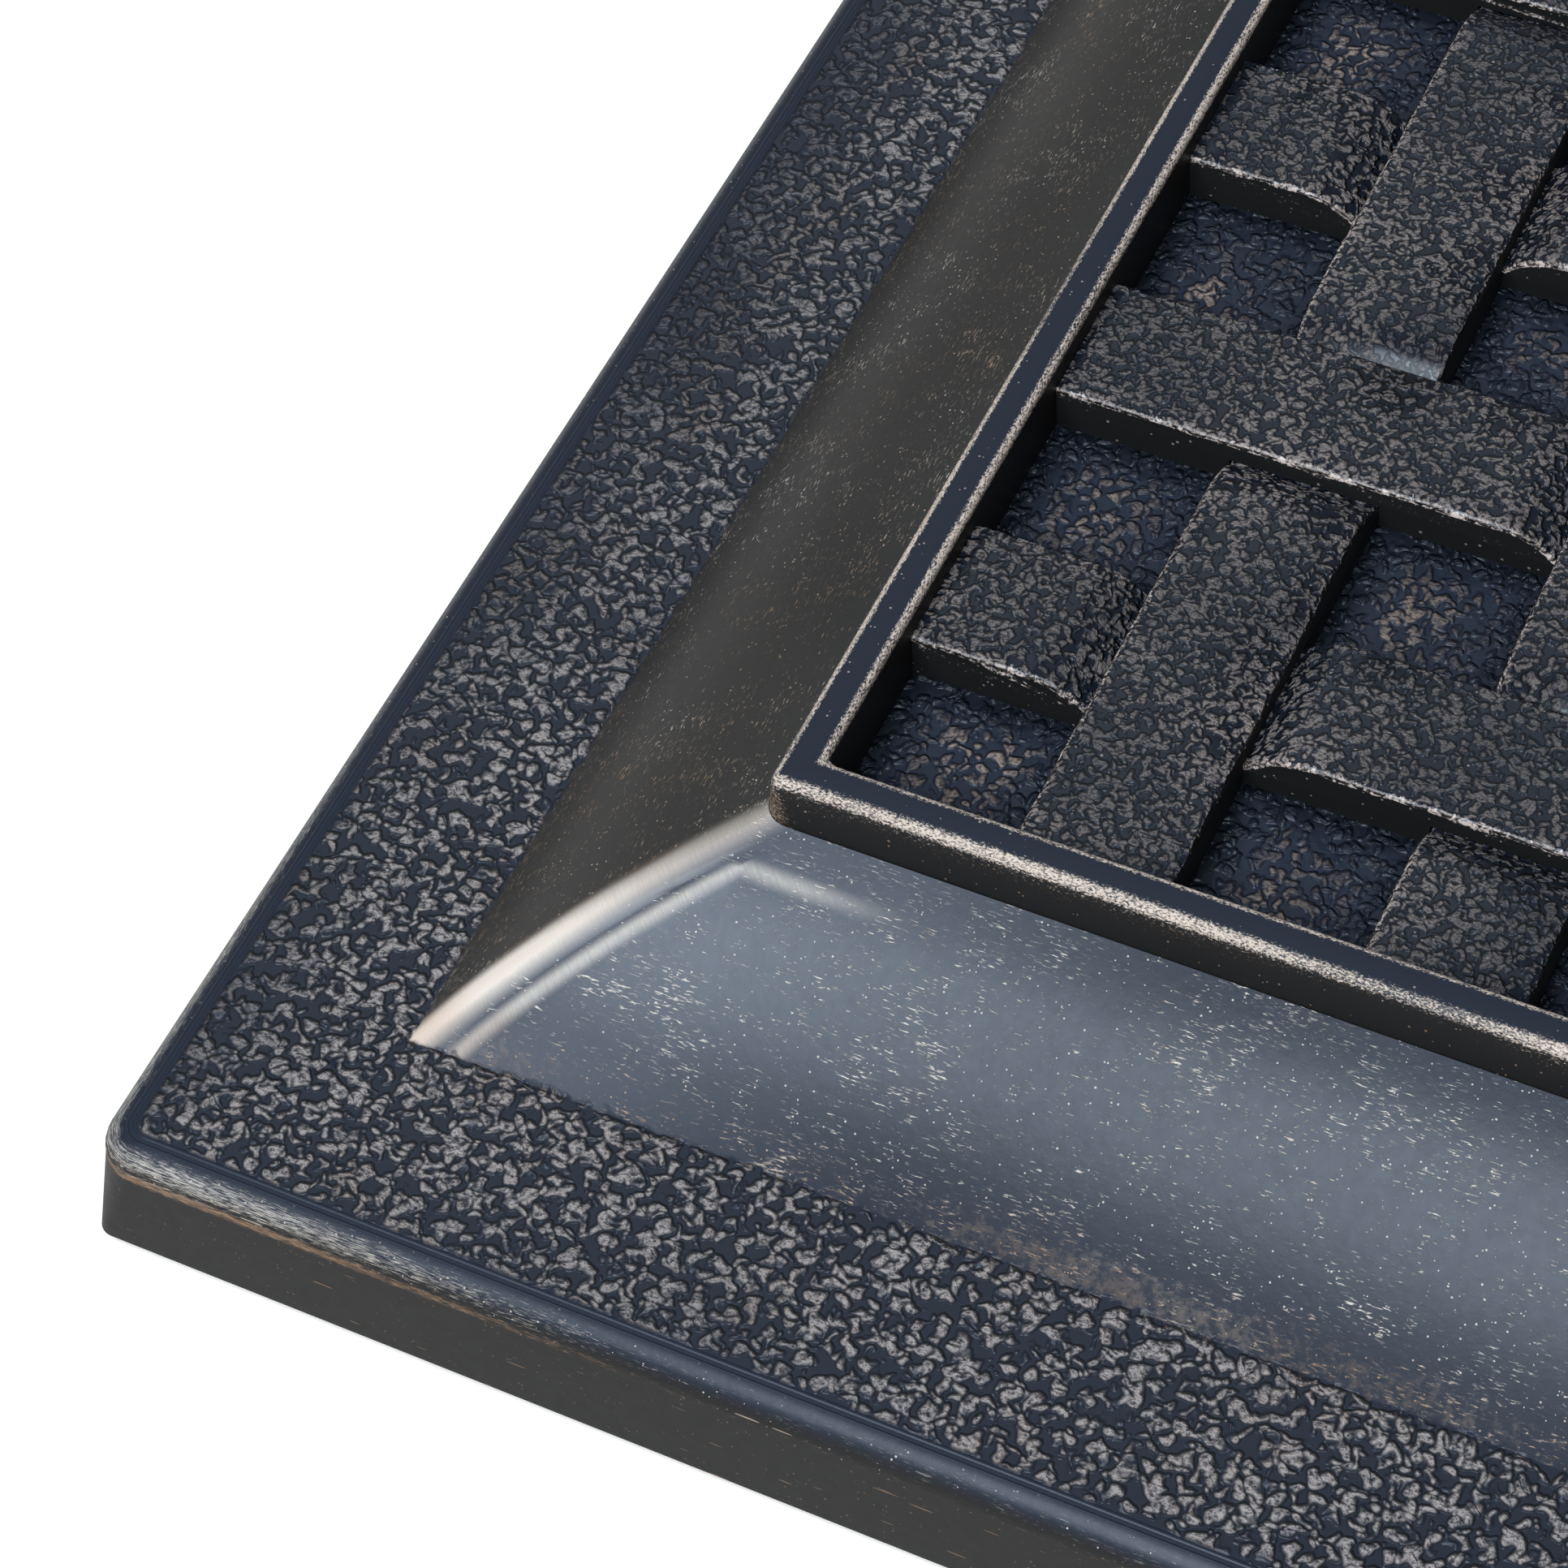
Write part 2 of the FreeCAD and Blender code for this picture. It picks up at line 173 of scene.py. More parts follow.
class DoorMatRim(bpy.types.PropertyGroup):
    base_round: length("Base Round", "Plan radius of the outer corner at the base", 1.9 * MM)
    top_round: length("Top Round", "Plan radius of the outer corner at the top", 0.8 * MM)
    inner_round: length("Inner Round", "Plan radius of the inner corner", 1.1 * MM)
    batter: length("Batter", "How far the outer face leans in", 0.7 * MM)
    top_width: length("Top Width", "Width of the rim's top", 3.1 * MM)
    outer_arris: length("Outer Arris", "Radius of the outer top arris", 0.8 * MM)
    inner_arris: length("Inner Arris", "Radius of the inner top arris", 0.5 * MM)
    peg_diameter: length("Peg Diameter", "Diameter of the pegs under the rim", 2.4 * MM)
    pegs_long: count("Pegs Long", "Pegs under each long side", 10)
    pegs_short: count("Pegs Short", "Pegs under each short side", 6)


class DoorMatStrips(bpy.types.PropertyGroup):
    dive_length: length("Dive Length", "Length over which a strip rolls down to a crossing", 5 * MM)
    lap_clearance: length("Lap Clearance", "Gap between strips where they cross", 0.1 * MM)
    arris_round: length("Arris Round", "Radius of the top arrises", 0.45 * MM)
    arris_wander: length("Arris Wander", "How far the worn arrises wander", 0.12 * MM)


class DoorMatFinish(bpy.types.PropertyGroup):
    rubber: colour("Rubber", "Navy-black moulded rubber", (0.014, 0.017, 0.026))
    # Painted shade: a darker, non-blue copy of the navy rubber, put on the walls, the short-side slopes and the
    # side faces of the rim and strips, which turn away from the light.
    shaded_rubber: colour("Wall Rubber", "Charcoal of the walls and the side faces", (0.0098, 0.0088, 0.0083))
    # Painted shade: the dark colour put in the hollows of the grain and along the foot of the strips on the panel
    # floor, where shade falls.
    crevice_shade: colour("Crevice", "Dust-free bottom of the grain", (0.006, 0.007, 0.011))
    cream: colour("Cream", "Warm pale highlight rubbed on the grain and the arrises", (0.62, 0.45, 0.34))
    chalk: colour("Chalk", "Neutral pale highlight brushed on smooth slopes", (0.72, 0.62, 0.52))
    copper: colour("Copper", "Warm highlight rubbed on edges", (0.38, 0.22, 0.12))
    # Painted reflection: the cool grey laid over the long-side slopes as a sheen of the bright surroundings; it
    # also greys the cream pigment on the grain.
    sheen_and_tint_grey: colour("Film", "Cool thin film over the smooth slopes", (0.45, 0.45, 0.49))
    steel: colour("Steel", "Retaining rings", (0.42, 0.42, 0.43))
    foot_rubber: colour("Foot Rubber", "Grip feet", (0.02, 0.02, 0.021))
    band_pebble: length("Band Pebble", "Size of a pebble on the band", 0.98 * MM)
    strip_pebble: length("Strip Pebble", "Size of a pebble on the strips", 0.68 * MM)
    floor_pebble: length("Floor Pebble", "Size of a wrinkle on the panel floor", 0.9 * MM)


class DoorMatStage(bpy.types.PropertyGroup):
    floor_colour: colour("Floor Colour", "Pale plain floor", (0.92, 0.8, 0.7))
    key_power: amount("Key Power", "Power of the soft box", 30, unit="POWER")
    back_power: amount("Back Power", "Power of the weak light behind", 2.5, unit="POWER")
    key_tint: colour("Key Tint", "Cool tint of the soft box", (0.74, 0.87, 1.0))
    world_strength: amount("World Strength", "Brightness of the surroundings", 0.12)
    lens: amount("Lens", "Focal length of the camera", 110.5, subtype="DISTANCE_CAMERA")
    camera_place: FloatVectorProperty(
        name="Camera Place", description="Camera from the near corner of the band", subtype="TRANSLATION",
        default=(0.14627, -0.14006, 0.29207))
    camera_turn: FloatVectorProperty(
        name="Camera Turn", description="Rotation of the camera", subtype="EULER",
        default=(math.radians(36.929), math.radians(3.880), math.radians(25.736)))


# Modelling helpers

def pick(*pieces):
    """Selects only these objects and makes the first the active one."""
    bpy.ops.object.select_all(action="DESELECT")
    for piece in pieces:
        piece.select_set(True)
    if pieces:
        bpy.context.view_layer.objects.active = pieces[0]


def edit_points():
    """Opens the active object for editing by its points."""
    bpy.ops.object.mode_set(mode="EDIT")
    bpy.context.tool_settings.mesh_select_mode = (True, False, False)


def new_piece(name):
    """Adds a unit square at the origin and leaves it open for editing."""
    pick()
    bpy.ops.mesh.primitive_plane_add(size=1)
    piece = bpy.context.object
    piece.name = name
    piece.data.name = name
    edit_points()
    return piece


def edited():
    return bmesh.from_edit_mesh(bpy.context.edit_object.data)


def show_selection(mesh):
    mesh.select_flush_mode()
    bmesh.update_edit_mesh(bpy.context.edit_object.data)


def select_points(test):
    """Selects the vertices whose place passes the test, and what they join."""
    bpy.ops.mesh.select_all(action="DESELECT")
    mesh = edited()
    for point in mesh.verts:
        point.select = test(point.co)
    show_selection(mesh)


def anywhere(point):
    return True


def select_faces(test):
    """Selects the faces whose middle and normal pass the test."""
    bpy.ops.mesh.select_all(action="DESELECT")
    bpy.context.tool_settings.mesh_select_mode = (False, False, True)
    mesh = edited()
    for face in mesh.faces:
        face.select = test(face.calc_center_median(), face.normal)
    show_selection(mesh)


def select_edges(test):
    """Selects the edges whose two ends pass the test."""
    bpy.ops.mesh.select_all(action="DESELECT")
    bpy.context.tool_settings.mesh_select_mode = (False, True, False)
    mesh = edited()
    for edge in mesh.edges:
        edge.select = test(edge.verts[0].co, edge.verts[1].co)
    show_selection(mesh)


def select_all_parts():
    bpy.ops.mesh.select_all(action="SELECT")


def turn_outwards():
    select_all_parts()
    bpy.ops.mesh.normals_make_consistent(inside=False)


def extrude_by(step):
    bpy.ops.mesh.extrude_region_move(TRANSFORM_OT_translate={"value": step})


def move_by(step):
    bpy.ops.transform.translate(value=step)


def close_up(angle):
    """Merges doubles, turns faces outwards and leaves edit mode with smooth shading."""
    select_all_parts()
    bpy.ops.mesh.remove_doubles(threshold=MERGE_DISTANCE)
    turn_outwards()
    bpy.ops.object.mode_set(mode="OBJECT")
    bpy.ops.object.shade_smooth_by_angle(angle=math.radians(angle))


def arc_points(start, middle, end, count):
    """Points on the arc through three points, the start left out."""
    (ax, ay), (bx, by), (cx, cy) = start, middle, end
    twice = 2 * (ax * (by - cy) + bx * (cy - ay) + cx * (ay - by))
    ux = ((ax**2 + ay**2) * (by - cy) + (bx**2 + by**2) * (cy - ay) + (cx**2 + cy**2) * (ay - by)) / twice
    uy = ((ax**2 + ay**2) * (cx - bx) + (bx**2 + by**2) * (ax - cx) + (cx**2 + cy**2) * (bx - ax)) / twice
    radius = math.hypot(ax - ux, ay - uy)
    first = math.atan2(ay - uy, ax - ux)
    last = math.atan2(cy - uy, cx - ux)
    turn = (last - first + math.pi) % (2 * math.pi) - math.pi
    steps = [first + turn * (i + 1) / count for i in range(count)]
    return [(ux + radius * math.cos(a), uy + radius * math.sin(a)) for a in steps]


def mixed(low, high, share):
    return low + (high - low) * share


def ring_of(name, profile, corner_steps=8):
    """Closed ring round the mat: a corner chain is extruded along the profile and mirrored twice.

    The profile is a closed list of (inset, height, plan radius of the corner).
    """
    piece = new_piece(name)
    inset, height, radius = profile[0]
    corner = Vector((MAT_LOW.x + inset, MAT_LOW.y + inset, height))
    past_middle = 10 * MM
    select_points(anywhere)
    bpy.ops.transform.resize(value=(past_middle - corner.x, past_middle - corner.y, 1))
    move_by(((past_middle + corner.x) / 2, (past_middle + corner.y) / 2, height))
    select_points(lambda p: (p - corner).length < MM)
    bpy.ops.mesh.bevel(affect="VERTICES", offset=radius, segments=corner_steps)
    select_points(lambda p: p.x > 0 and p.y > 0)
    bpy.ops.mesh.delete(type="VERT")
    select_points(anywhere)
    for before, after in zip(profile, profile[1:] + profile[:1]):
        corner = Vector((MAT_LOW.x + after[0], MAT_LOW.y + after[0], after[1]))
        step = after[0] - before[0]
        extrude_by((step, step, after[1] - before[1]))
        reshape_corner(corner, before[2], after[2])
    for across in ((1, 0, 0), (0, 1, 0)):
        select_points(anywhere)
        bpy.ops.mesh.bisect(plane_co=(0, 0, 0), plane_no=across, clear_outer=True)
    select_all_parts()
    bpy.ops.mesh.remove_doubles(threshold=MERGE_DISTANCE)
    return piece


def reshape_corner(corner, old_radius, new_radius):
    """Gives the selected chain a new corner radius by scaling its arc about the sharp corner."""
    mesh = edited()
    ends = [point for point in mesh.verts if point.select and max(point.co.x, point.co.y) > 0]
    for point in ends:
        point.select = False
    show_selection(mesh)
    share = new_radius / old_radius
    bpy.ops.transform.resize(value=(share, share, 1), center_override=corner)
    for point in ends:
        point.select = True
    show_selection(mesh)


def mirror_quarter(piece):
    """Mirrors the corner to all four and closes the ring."""
    bpy.ops.object.mode_set(mode="OBJECT")
    mirror = piece.modifiers.new("Four corners", "MIRROR")
    mirror.use_axis = (True, True, False)
    mirror.merge_threshold = MERGE_DISTANCE
    bpy.ops.object.modifier_apply(modifier=mirror.name)
    bpy.ops.object.mode_set(mode="EDIT")


def join_to(piece, others):
    """Joins other finished solids to the piece as separate shells of one mesh."""
    pick(piece, *others)
    bpy.ops.object.join()


def settle(piece, material, slot, *nodes):
    """Bakes the place into the mesh, gives the material and ties the piece to the frame."""
    pick(piece)
    bpy.ops.object.transform_apply(location=True, rotation=True, scale=True)
    piece.data.materials.clear()
    piece.data.materials.append(material)
    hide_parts(*nodes)
    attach(piece, "root")


# Places on the border

def band_height(border):
    return BORDER_LOW.z + border.wall_height


def slope_foot_inset(border):
    """Inset at which the band ends and the slope starts."""
    return border.wall_draft + border.band_width


def slope_top_inset(border):
    """Inset at which the slope ends under the rim."""
    return slope_foot_inset(border) + border.slope_width


def seat_height():
    """Height of the ledge's top, on which the tray's plate rests."""
    return TRAY_HIGH.z - TRAY_PLATE


# Node trees

class Wiring:
    """Adds nodes to one tree and joins them, so that a formula reads in order."""

    def __init__(self, tree):
        self.tree = tree

    def feed(self, socket, value):
        if isinstance(value, bpy.types.NodeSocket):
            self.tree.links.new(value, socket)
        else:
            socket.default_value = value

    def node(self, kind, inputs, **settings):
        made = self.tree.nodes.new(kind)
        for name, value in settings.items():
            setattr(made, name, value)
        for name, value in inputs.items():
            self.feed(made.inputs[name], value)
        return made

    def math(self, operation, *values):
        made = self.tree.nodes.new("ShaderNodeMath")
        made.operation = operation
        for socket, value in zip(made.inputs, values):
            self.feed(socket, value)
        return made.outputs[0]

    def add(self, *values):
        total = values[0]
        for value in values[1:]:
            total = self.math("ADD", total, value)
        return total

    def times(self, *values):
        product = values[0]
        for value in values[1:]:
            product = self.math("MULTIPLY", product, value)
        return product

    def less(self, value, taken):
        return self.math("SUBTRACT", value, taken)

    def rest(self, value):
        return self.math("SUBTRACT", 1.0, value)

    def highest(self, first, *others):
        for value in others:
            first = self.math("MAXIMUM", first, value)
        return first

    def lowest(self, first, second):
        return self.math("MINIMUM", first, second)

    def size_of(self, value):
        return self.math("ABSOLUTE", value)

    def one_over(self, value):
        return self.math("DIVIDE", 1.0, value)

    def rise(self, value, low, high):
        """Goes smoothly from 0 at low to 1 at high."""
        inputs = {"Value": value, "From Min": low, "From Max": high}
        return self.node("ShaderNodeMapRange", inputs, interpolation_type="SMOOTHSTEP").outputs[0]

    def fall(self, value, low, high):
        """Goes smoothly from 1 at low to 0 at high."""
        return self.rest(self.rise(value, low, high))

    def near(self, value, place, core, reach):
        """Is 1 within core of the place and falls to 0 at reach from it."""
        return self.fall(self.size_of(self.less(value, place)), core, reach)

    def upward(self, normal, low, high):
        """Goes from 0 to 1 as the face turns upwards."""
        return self.rise(self.split(normal)[2], low, high)

    def nearest_multiple(self, value, pitch):
        return self.times(self.math("ROUND", self.math("DIVIDE", value, pitch)), pitch)

    def blend(self, share, first, second):
        made = self.node("ShaderNodeMix", {"Factor": share}, data_type="RGBA")
        for socket, value in ((made.inputs[6], first), (made.inputs[7], second)):
            if not isinstance(value, bpy.types.NodeSocket) and len(value) == 3:
                value = (*value, 1)
            self.feed(socket, value)
        return made.outputs[2]

    def split(self, vector):
        return self.node("ShaderNodeSeparateXYZ", {"Vector": vector}).outputs

    def vector(self, x, y, z):
        return self.node("ShaderNodeCombineXYZ", {"X": x, "Y": y, "Z": z}).outputs[0]

    def scaled(self, vector, share):
        inputs = {"Vector": vector, "Scale": share}
        return self.node("ShaderNodeVectorMath", inputs, operation="SCALE").outputs[0]

    def noise(self, vector, scale, detail=2.0, roughness=0.5, distortion=0.0):
        inputs = {"Vector": vector, "Scale": scale, "Detail": detail, "Roughness": roughness}
        inputs["Distortion"] = distortion
        return self.node("ShaderNodeTexNoise", inputs).outputs[0]

    def group(self, tree, **inputs):
        made = self.tree.nodes.new("ShaderNodeGroup")
        made.node_tree = tree
        for name, value in inputs.items():
            self.feed(made.inputs[name.replace("_", " ").title()], value)
        return made.outputs


def effect_group(name, inputs, outputs):
    """Empty shader node group: (tree, wiring, input sockets, output sockets)."""
    tree = bpy.data.node_groups.new(name, "ShaderNodeTree")
    for title, kind in inputs:
        tree.interface.new_socket(title, in_out="INPUT", socket_type=kind)
    for title, kind in outputs:
        tree.interface.new_socket(title, in_out="OUTPUT", socket_type=kind)
    given = tree.nodes.new("NodeGroupInput")
    results = tree.nodes.new("NodeGroupOutput")
    return tree, Wiring(tree), given.outputs, results.inputs


FLOAT = "NodeSocketFloat"
VECTOR = "NodeSocketVector"


def mat_places_group():
    """Where a point lies on the mat: its inset, how far it is from the mitre, and along which side."""
    inputs = [("Vector", VECTOR), ("Half Length", FLOAT), ("Half Width", FLOAT), ("Round", FLOAT)]
    outputs = [(title, FLOAT) for title in ("Inset", "Sharp Inset", "Mitre", "Along", "Corner", "Side")]
    tree, wiring, given, results = effect_group("Mat Places", inputs, outputs)
    x, y, _ = wiring.split(given["Vector"])
    from_end = wiring.less(given["Half Length"], wiring.size_of(x))
    from_side = wiring.less(given["Half Width"], wiring.size_of(y))
    sharp = wiring.lowest(from_end, from_side)
    past_end = wiring.highest(wiring.less(given["Round"], from_end), 0.0)
    past_side = wiring.highest(wiring.less(given["Round"], from_side), 0.0)
    squares = wiring.add(wiring.times(past_end, past_end), wiring.times(past_side, past_side))
    rounded = wiring.less(given["Round"], wiring.math("SQRT", squares))
    in_round = wiring.math("LESS_THAN", sharp, given["Round"])
    inset = wiring.add(wiring.times(in_round, rounded), wiring.times(wiring.rest(in_round), sharp))
    mitre = wiring.less(from_end, from_side)
    on_long_side = wiring.math("GREATER_THAN", mitre, 0.0)
    along = wiring.add(wiring.times(on_long_side, x), wiring.times(wiring.rest(on_long_side), y))
    ends = wiring.add(wiring.times(from_end, from_end), wiring.times(from_side, from_side))
    values = (inset, sharp, mitre, along, wiring.math("SQRT", ends), on_long_side)
    for (title, _), value in zip(outputs, values):
        wiring.feed(results[title], value)
    return tree


def pebble_grain_group():
    """Moulded leather-like grain: islands with rough tops on a smooth ground."""
    inputs = [("Vector", VECTOR), ("Size", FLOAT), ("Spread", FLOAT)]
    outputs = [("Height", FLOAT), ("Tops", FLOAT)]
    tree, wiring, given, results = effect_group("Pebble Grain", inputs, outputs)
    size = wiring.one_over(given["Size"])
    place = wiring.scaled(given["Vector"], size)
    sway = wiring.node("ShaderNodeTexNoise", {"Vector": place, "Scale": 0.8, "Detail": 0.0}).outputs["Color"]
    sway = wiring.node("ShaderNodeVectorMath", {0: sway, 1: (0.5, 0.5, 0.5)}, operation="SUBTRACT").outputs[0]
    swayed = wiring.node(
        "ShaderNodeVectorMath", {0: wiring.scaled(sway, 1.5), 1: place}, operation="ADD").outputs[0]
    domes = {"Vector": swayed, "Scale": 1.0, "Smoothness": 0.15}
    cells = wiring.node("ShaderNodeTexVoronoi", domes, feature="SMOOTH_F1").outputs["Distance"]
    merging = wiring.times(wiring.less(wiring.noise(place, 0.9, 0.0), 0.5), 0.6)
    level = wiring.less(wiring.less(wiring.add(0.82, merging), cells), given["Spread"])
    island = wiring.rise(level, 0.06, 0.56)
    rough = wiring.noise(place, 2.6, 3.0, 0.6)
    wiring.feed(results["Height"], wiring.times(island, wiring.add(0.5, rough)))
    tops = wiring.times(wiring.rise(level, 0.2, 0.44), wiring.rise(rough, 0.28, 0.6))
    wiring.feed(results["Tops"], tops)
    return tree


def streaks_group():
    """Short brush strokes: the peaks of a stretched noise, more of them where the amount is high."""
    inputs = [("Vector", VECTOR), ("Size", FLOAT), ("Amount", FLOAT)]
    tree, wiring, given, results = effect_group("Streaks", inputs, [("Mask", FLOAT)])
    place = wiring.scaled(given["Vector"], wiring.one_over(given["Size"]))
    grit = wiring.add(wiring.noise(place, 1.0, 2.0, 0.6), wiring.times(given["Amount"], 0.3))
    wiring.feed(results["Mask"], wiring.rise(grit, 0.79, 0.9))
    return tree


def specks_group():
    """Scattered specks: a few cells hold one dot each, of uneven size."""
    inputs = [("Vector", VECTOR), ("Size", FLOAT), ("Share", FLOAT)]
    tree, wiring, given, results = effect_group("Specks", inputs, [("Mask", FLOAT)])
    place = wiring.scaled(given["Vector"], wiring.one_over(given["Size"]))
    cells = wiring.node("ShaderNodeTexVoronoi", {"Vector": place, "Scale": 1.0}, feature="F1").outputs
    chance, size, _ = wiring.split(cells["Color"])
    kept = wiring.math("LESS_THAN", chance, given["Share"])
    reach = wiring.add(0.1, wiring.times(size, 0.28))
    dot = wiring.math("LESS_THAN", cells["Distance"], reach)
    wiring.feed(results["Mask"], wiring.times(kept, dot))
    return tree


def dry_rub_group():
    """Pigment rubbed over a surface: a soft mask broken up by noise."""
    inputs = [("Mask", FLOAT), ("Vector", VECTOR), ("Size", FLOAT), ("Break Up", FLOAT)]
    tree, wiring, given, results = effect_group("Dry Rub", inputs, [("Mask", FLOAT)])
    place = wiring.scaled(given["Vector"], wiring.one_over(given["Size"]))
    grit = wiring.less(wiring.noise(place, 1.0, 4.0, 0.7), 0.5)
    level = wiring.add(given["Mask"], wiring.times(grit, given["Break Up"]))
    hidden = wiring.rise(given["Mask"], 0.02, 0.12)
    wiring.feed(results["Mask"], wiring.times(wiring.rise(level, 0.4, 0.75), hidden))
    return tree


EFFECTS = {}


def effects():
    """The shared groups, made once."""
    if not EFFECTS:
        EFFECTS.update(
            places=mat_places_group(), grain=pebble_grain_group(), streaks=streaks_group(),
            specks=specks_group(), rub=dry_rub_group())
    return EFFECTS


def start_material(name):
    """New material: (material, wiring, object coordinates, object-space normal)."""
    material = bpy.data.materials.new(name)
    material.use_nodes = True
    material.node_tree.nodes.clear()
    wiring = Wiring(material.node_tree)
    coordinates = wiring.node("ShaderNodeTexCoord", {}).outputs
    return material, wiring, coordinates["Object"], coordinates["Normal"]


def finish_material(
        wiring, base, roughness, height=None, relief=0.0, metallic=0.0, specular=RUBBER_SPECULAR, coat=0.0):
    """Joins colour, roughness and relief to a Principled shader."""
    inputs = {
        "Base Color": base, "Roughness": roughness, "Metallic": metallic, "Specular IOR Level": specular,
        "Coat Weight": coat, "Coat Roughness": COAT_ROUGHNESS}
    shader = wiring.node("ShaderNodeBsdfPrincipled", inputs)
    if height is not None:
        bump = wiring.node("ShaderNodeBump", {"Height": height, "Distance": relief, "Strength": 1.0})
        wiring.feed(shader.inputs["Normal"], bump.outputs[0])
    output = wiring.node("ShaderNodeOutputMaterial", {})
    wiring.feed(output.inputs["Surface"], shader.outputs[0])


def warm_pigment(wiring, finish, place, lean, pale=None):
    """Cream, or another pale colour, that turns to copper in slow patches; lean moves it towards copper."""
    patches = wiring.add(wiring.noise(place, 90.0, 2.0, 0.5), lean)
    return wiring.blend(wiring.rise(patches, 0.5, 0.95), pale or finish.cream, finish.copper)


def mottled(wiring, place):
    """Fine unevenness of moulded rubber."""
    return wiring.noise(place, 900.0, 3.0, 0.6)


def darker(colour_value, share):
    return [part * share for part in colour_value]


def mat_places(wiring, place, corner_round):
    """Where the point lies on the mat, with insets that turn round at the corners by this radius."""
    return wiring.group(
        effects()["places"], vector=place, half_length=MAT_HIGH.x, half_width=MAT_HIGH.y, round=corner_round)


def border_material(finish, border):
    """Wall and short-side slopes in painted shade, rubbed arris, pebbled band with painted shade in its hollows,
    and brushed slope with a painted cool sheen on the long sides, by place on the border.
    """
    material, wiring, place, _ = start_material("Worn Border Rubber")
    shared = effects()
    where = mat_places(wiring, place, BAND_ROUND)
    inset, sharp, mitre = where["Inset"], where["Sharp Inset"], where["Mitre"]
    along, corner, side = where["Along"], where["Corner"], where["Side"]
    x, y, z = wiring.split(place)
    z_band = band_height(border)
    slope_foot = slope_foot_inset(border)
    turn = slope_top_inset(border) - border.second_hip_turn
    slow = wiring.noise(place, 28.0, 2.0, 0.5)
    wobble = wiring.times(wiring.less(wiring.noise(place, 700.0, 2.0, 0.6), 0.5), 1.2 * MM)
    above = wiring.rise(z, z_band - 3 * MM, z_band - 2 * MM)

    # Pebbled band
    inner_limit = wiring.add(sharp, wobble)
    on_band = wiring.times(
        wiring.rise(inset, 3.4 * MM, 3.9 * MM),
        wiring.fall(inner_limit, slope_foot - 0.5 * MM, slope_foot + 0.1 * MM), above)
    grain = wiring.group(shared["grain"], vector=place, size=finish.band_pebble, spread=0.04)
    band_rub_level = wiring.add(
        wiring.times(slow, 0.9), wiring.times(wiring.rise(sharp, 4 * MM, 15 * MM), 0.25),
        wiring.times(side, 0.2), -0.12)
    band_rub = wiring.times(grain["Tops"], wiring.rise(band_rub_level, 0.05, 0.75), on_band, 0.72)
    pebbles = wiring.times(grain["Height"], on_band)

    # Smooth slope with dashes along it, specks and rubbed hips
    on_slope = wiring.times(wiring.rise(inner_limit, slope_foot - 0.1 * MM, slope_foot + 0.3 * MM), above)
    stretched = wiring.vector(wiring.times(along, 0.16), sharp, wiring.times(side, 10.0))
    zone = wiring.add(wiring.noise(place, 130.0, 2.0, 0.6), wiring.times(side, 0.01), 0.13)
    dashes = wiring.group(shared["streaks"], vector=stretched, size=0.12 * MM, amount=zone)["Mask"]
    strength = wiring.rise(wiring.noise(place, 520.0, 2.0, 0.6), 0.35, 0.7)
    dots = wiring.group(shared["specks"], vector=place, size=0.24 * MM, share=0.07)["Mask"]
    brushed = wiring.vector(wiring.times(wiring.add(x, y), 8.0), wiring.times(wiring.less(x, y), 0.5), z)
    strokes = wiring.noise(wiring.scaled(brushed, 900.0), 1.0, 3.0, 0.7)
    hip_mask = wiring.near(mitre, 0.1 * MM, 0.0, 2.6 * MM)
    hip_fade = wiring.rest(wiring.times(wiring.rise(sharp, 22 * MM, 38 * MM), 0.62))
    hip = wiring.times(hip_mask, wiring.add(0.95, wiring.times(strokes, 0.6)), hip_fade)
    to_turn = wiring.fall(sharp, turn - 0.2 * MM, turn + 0.4 * MM)
    second = wiring.times(wiring.near(mitre, border.second_hip, 0.0, 1.3 * MM), to_turn)
    fade = wiring.times(
        wiring.rise(mitre, border.second_hip - 0.4 * MM, border.second_hip),
        wiring.fall(mitre, border.second_hip + 3 * MM, border.second_hip + 14 * MM))
    turned = wiring.times(wiring.near(sharp, turn, 0.0, 1.0 * MM), fade)
    second_mask = wiring.highest(wiring.times(second, 0.62), wiring.times(turned, 0.45))
    second_hip = wiring.times(second_mask, wiring.add(0.45, wiring.times(strokes, 0.9)))
    patch_mask = wiring.times(wiring.rise(wiring.noise(place, 38.0, 1.0, 0.4), 0.5, 0.8), 0.42)
    patch_place = wiring.vector(wiring.times(along, 0.5), wiring.times(sharp, 1.6), 0.0)
    patch = wiring.group(
        shared["rub"], mask=patch_mask, vector=patch_place, size=0.3 * MM, break_up=1.9)["Mask"]
    foot_mask = wiring.times(wiring.near(sharp, slope_foot + 0.5 * MM, 0.5 * MM, 3.5 * MM), slow, 0.75)
    foot = wiring.group(shared["rub"], mask=foot_mask, vector=place, size=0.8 * MM, break_up=1.2)["Mask"]
    slope_rub = wiring.highest(
        wiring.lowest(hip, 1.0), second_hip, wiring.times(dashes, strength, 0.9), wiring.times(dots, 0.65),
        wiring.times(patch, 0.9), wiring.times(foot, 0.17))
    slope_rub = wiring.times(slope_rub, on_slope)

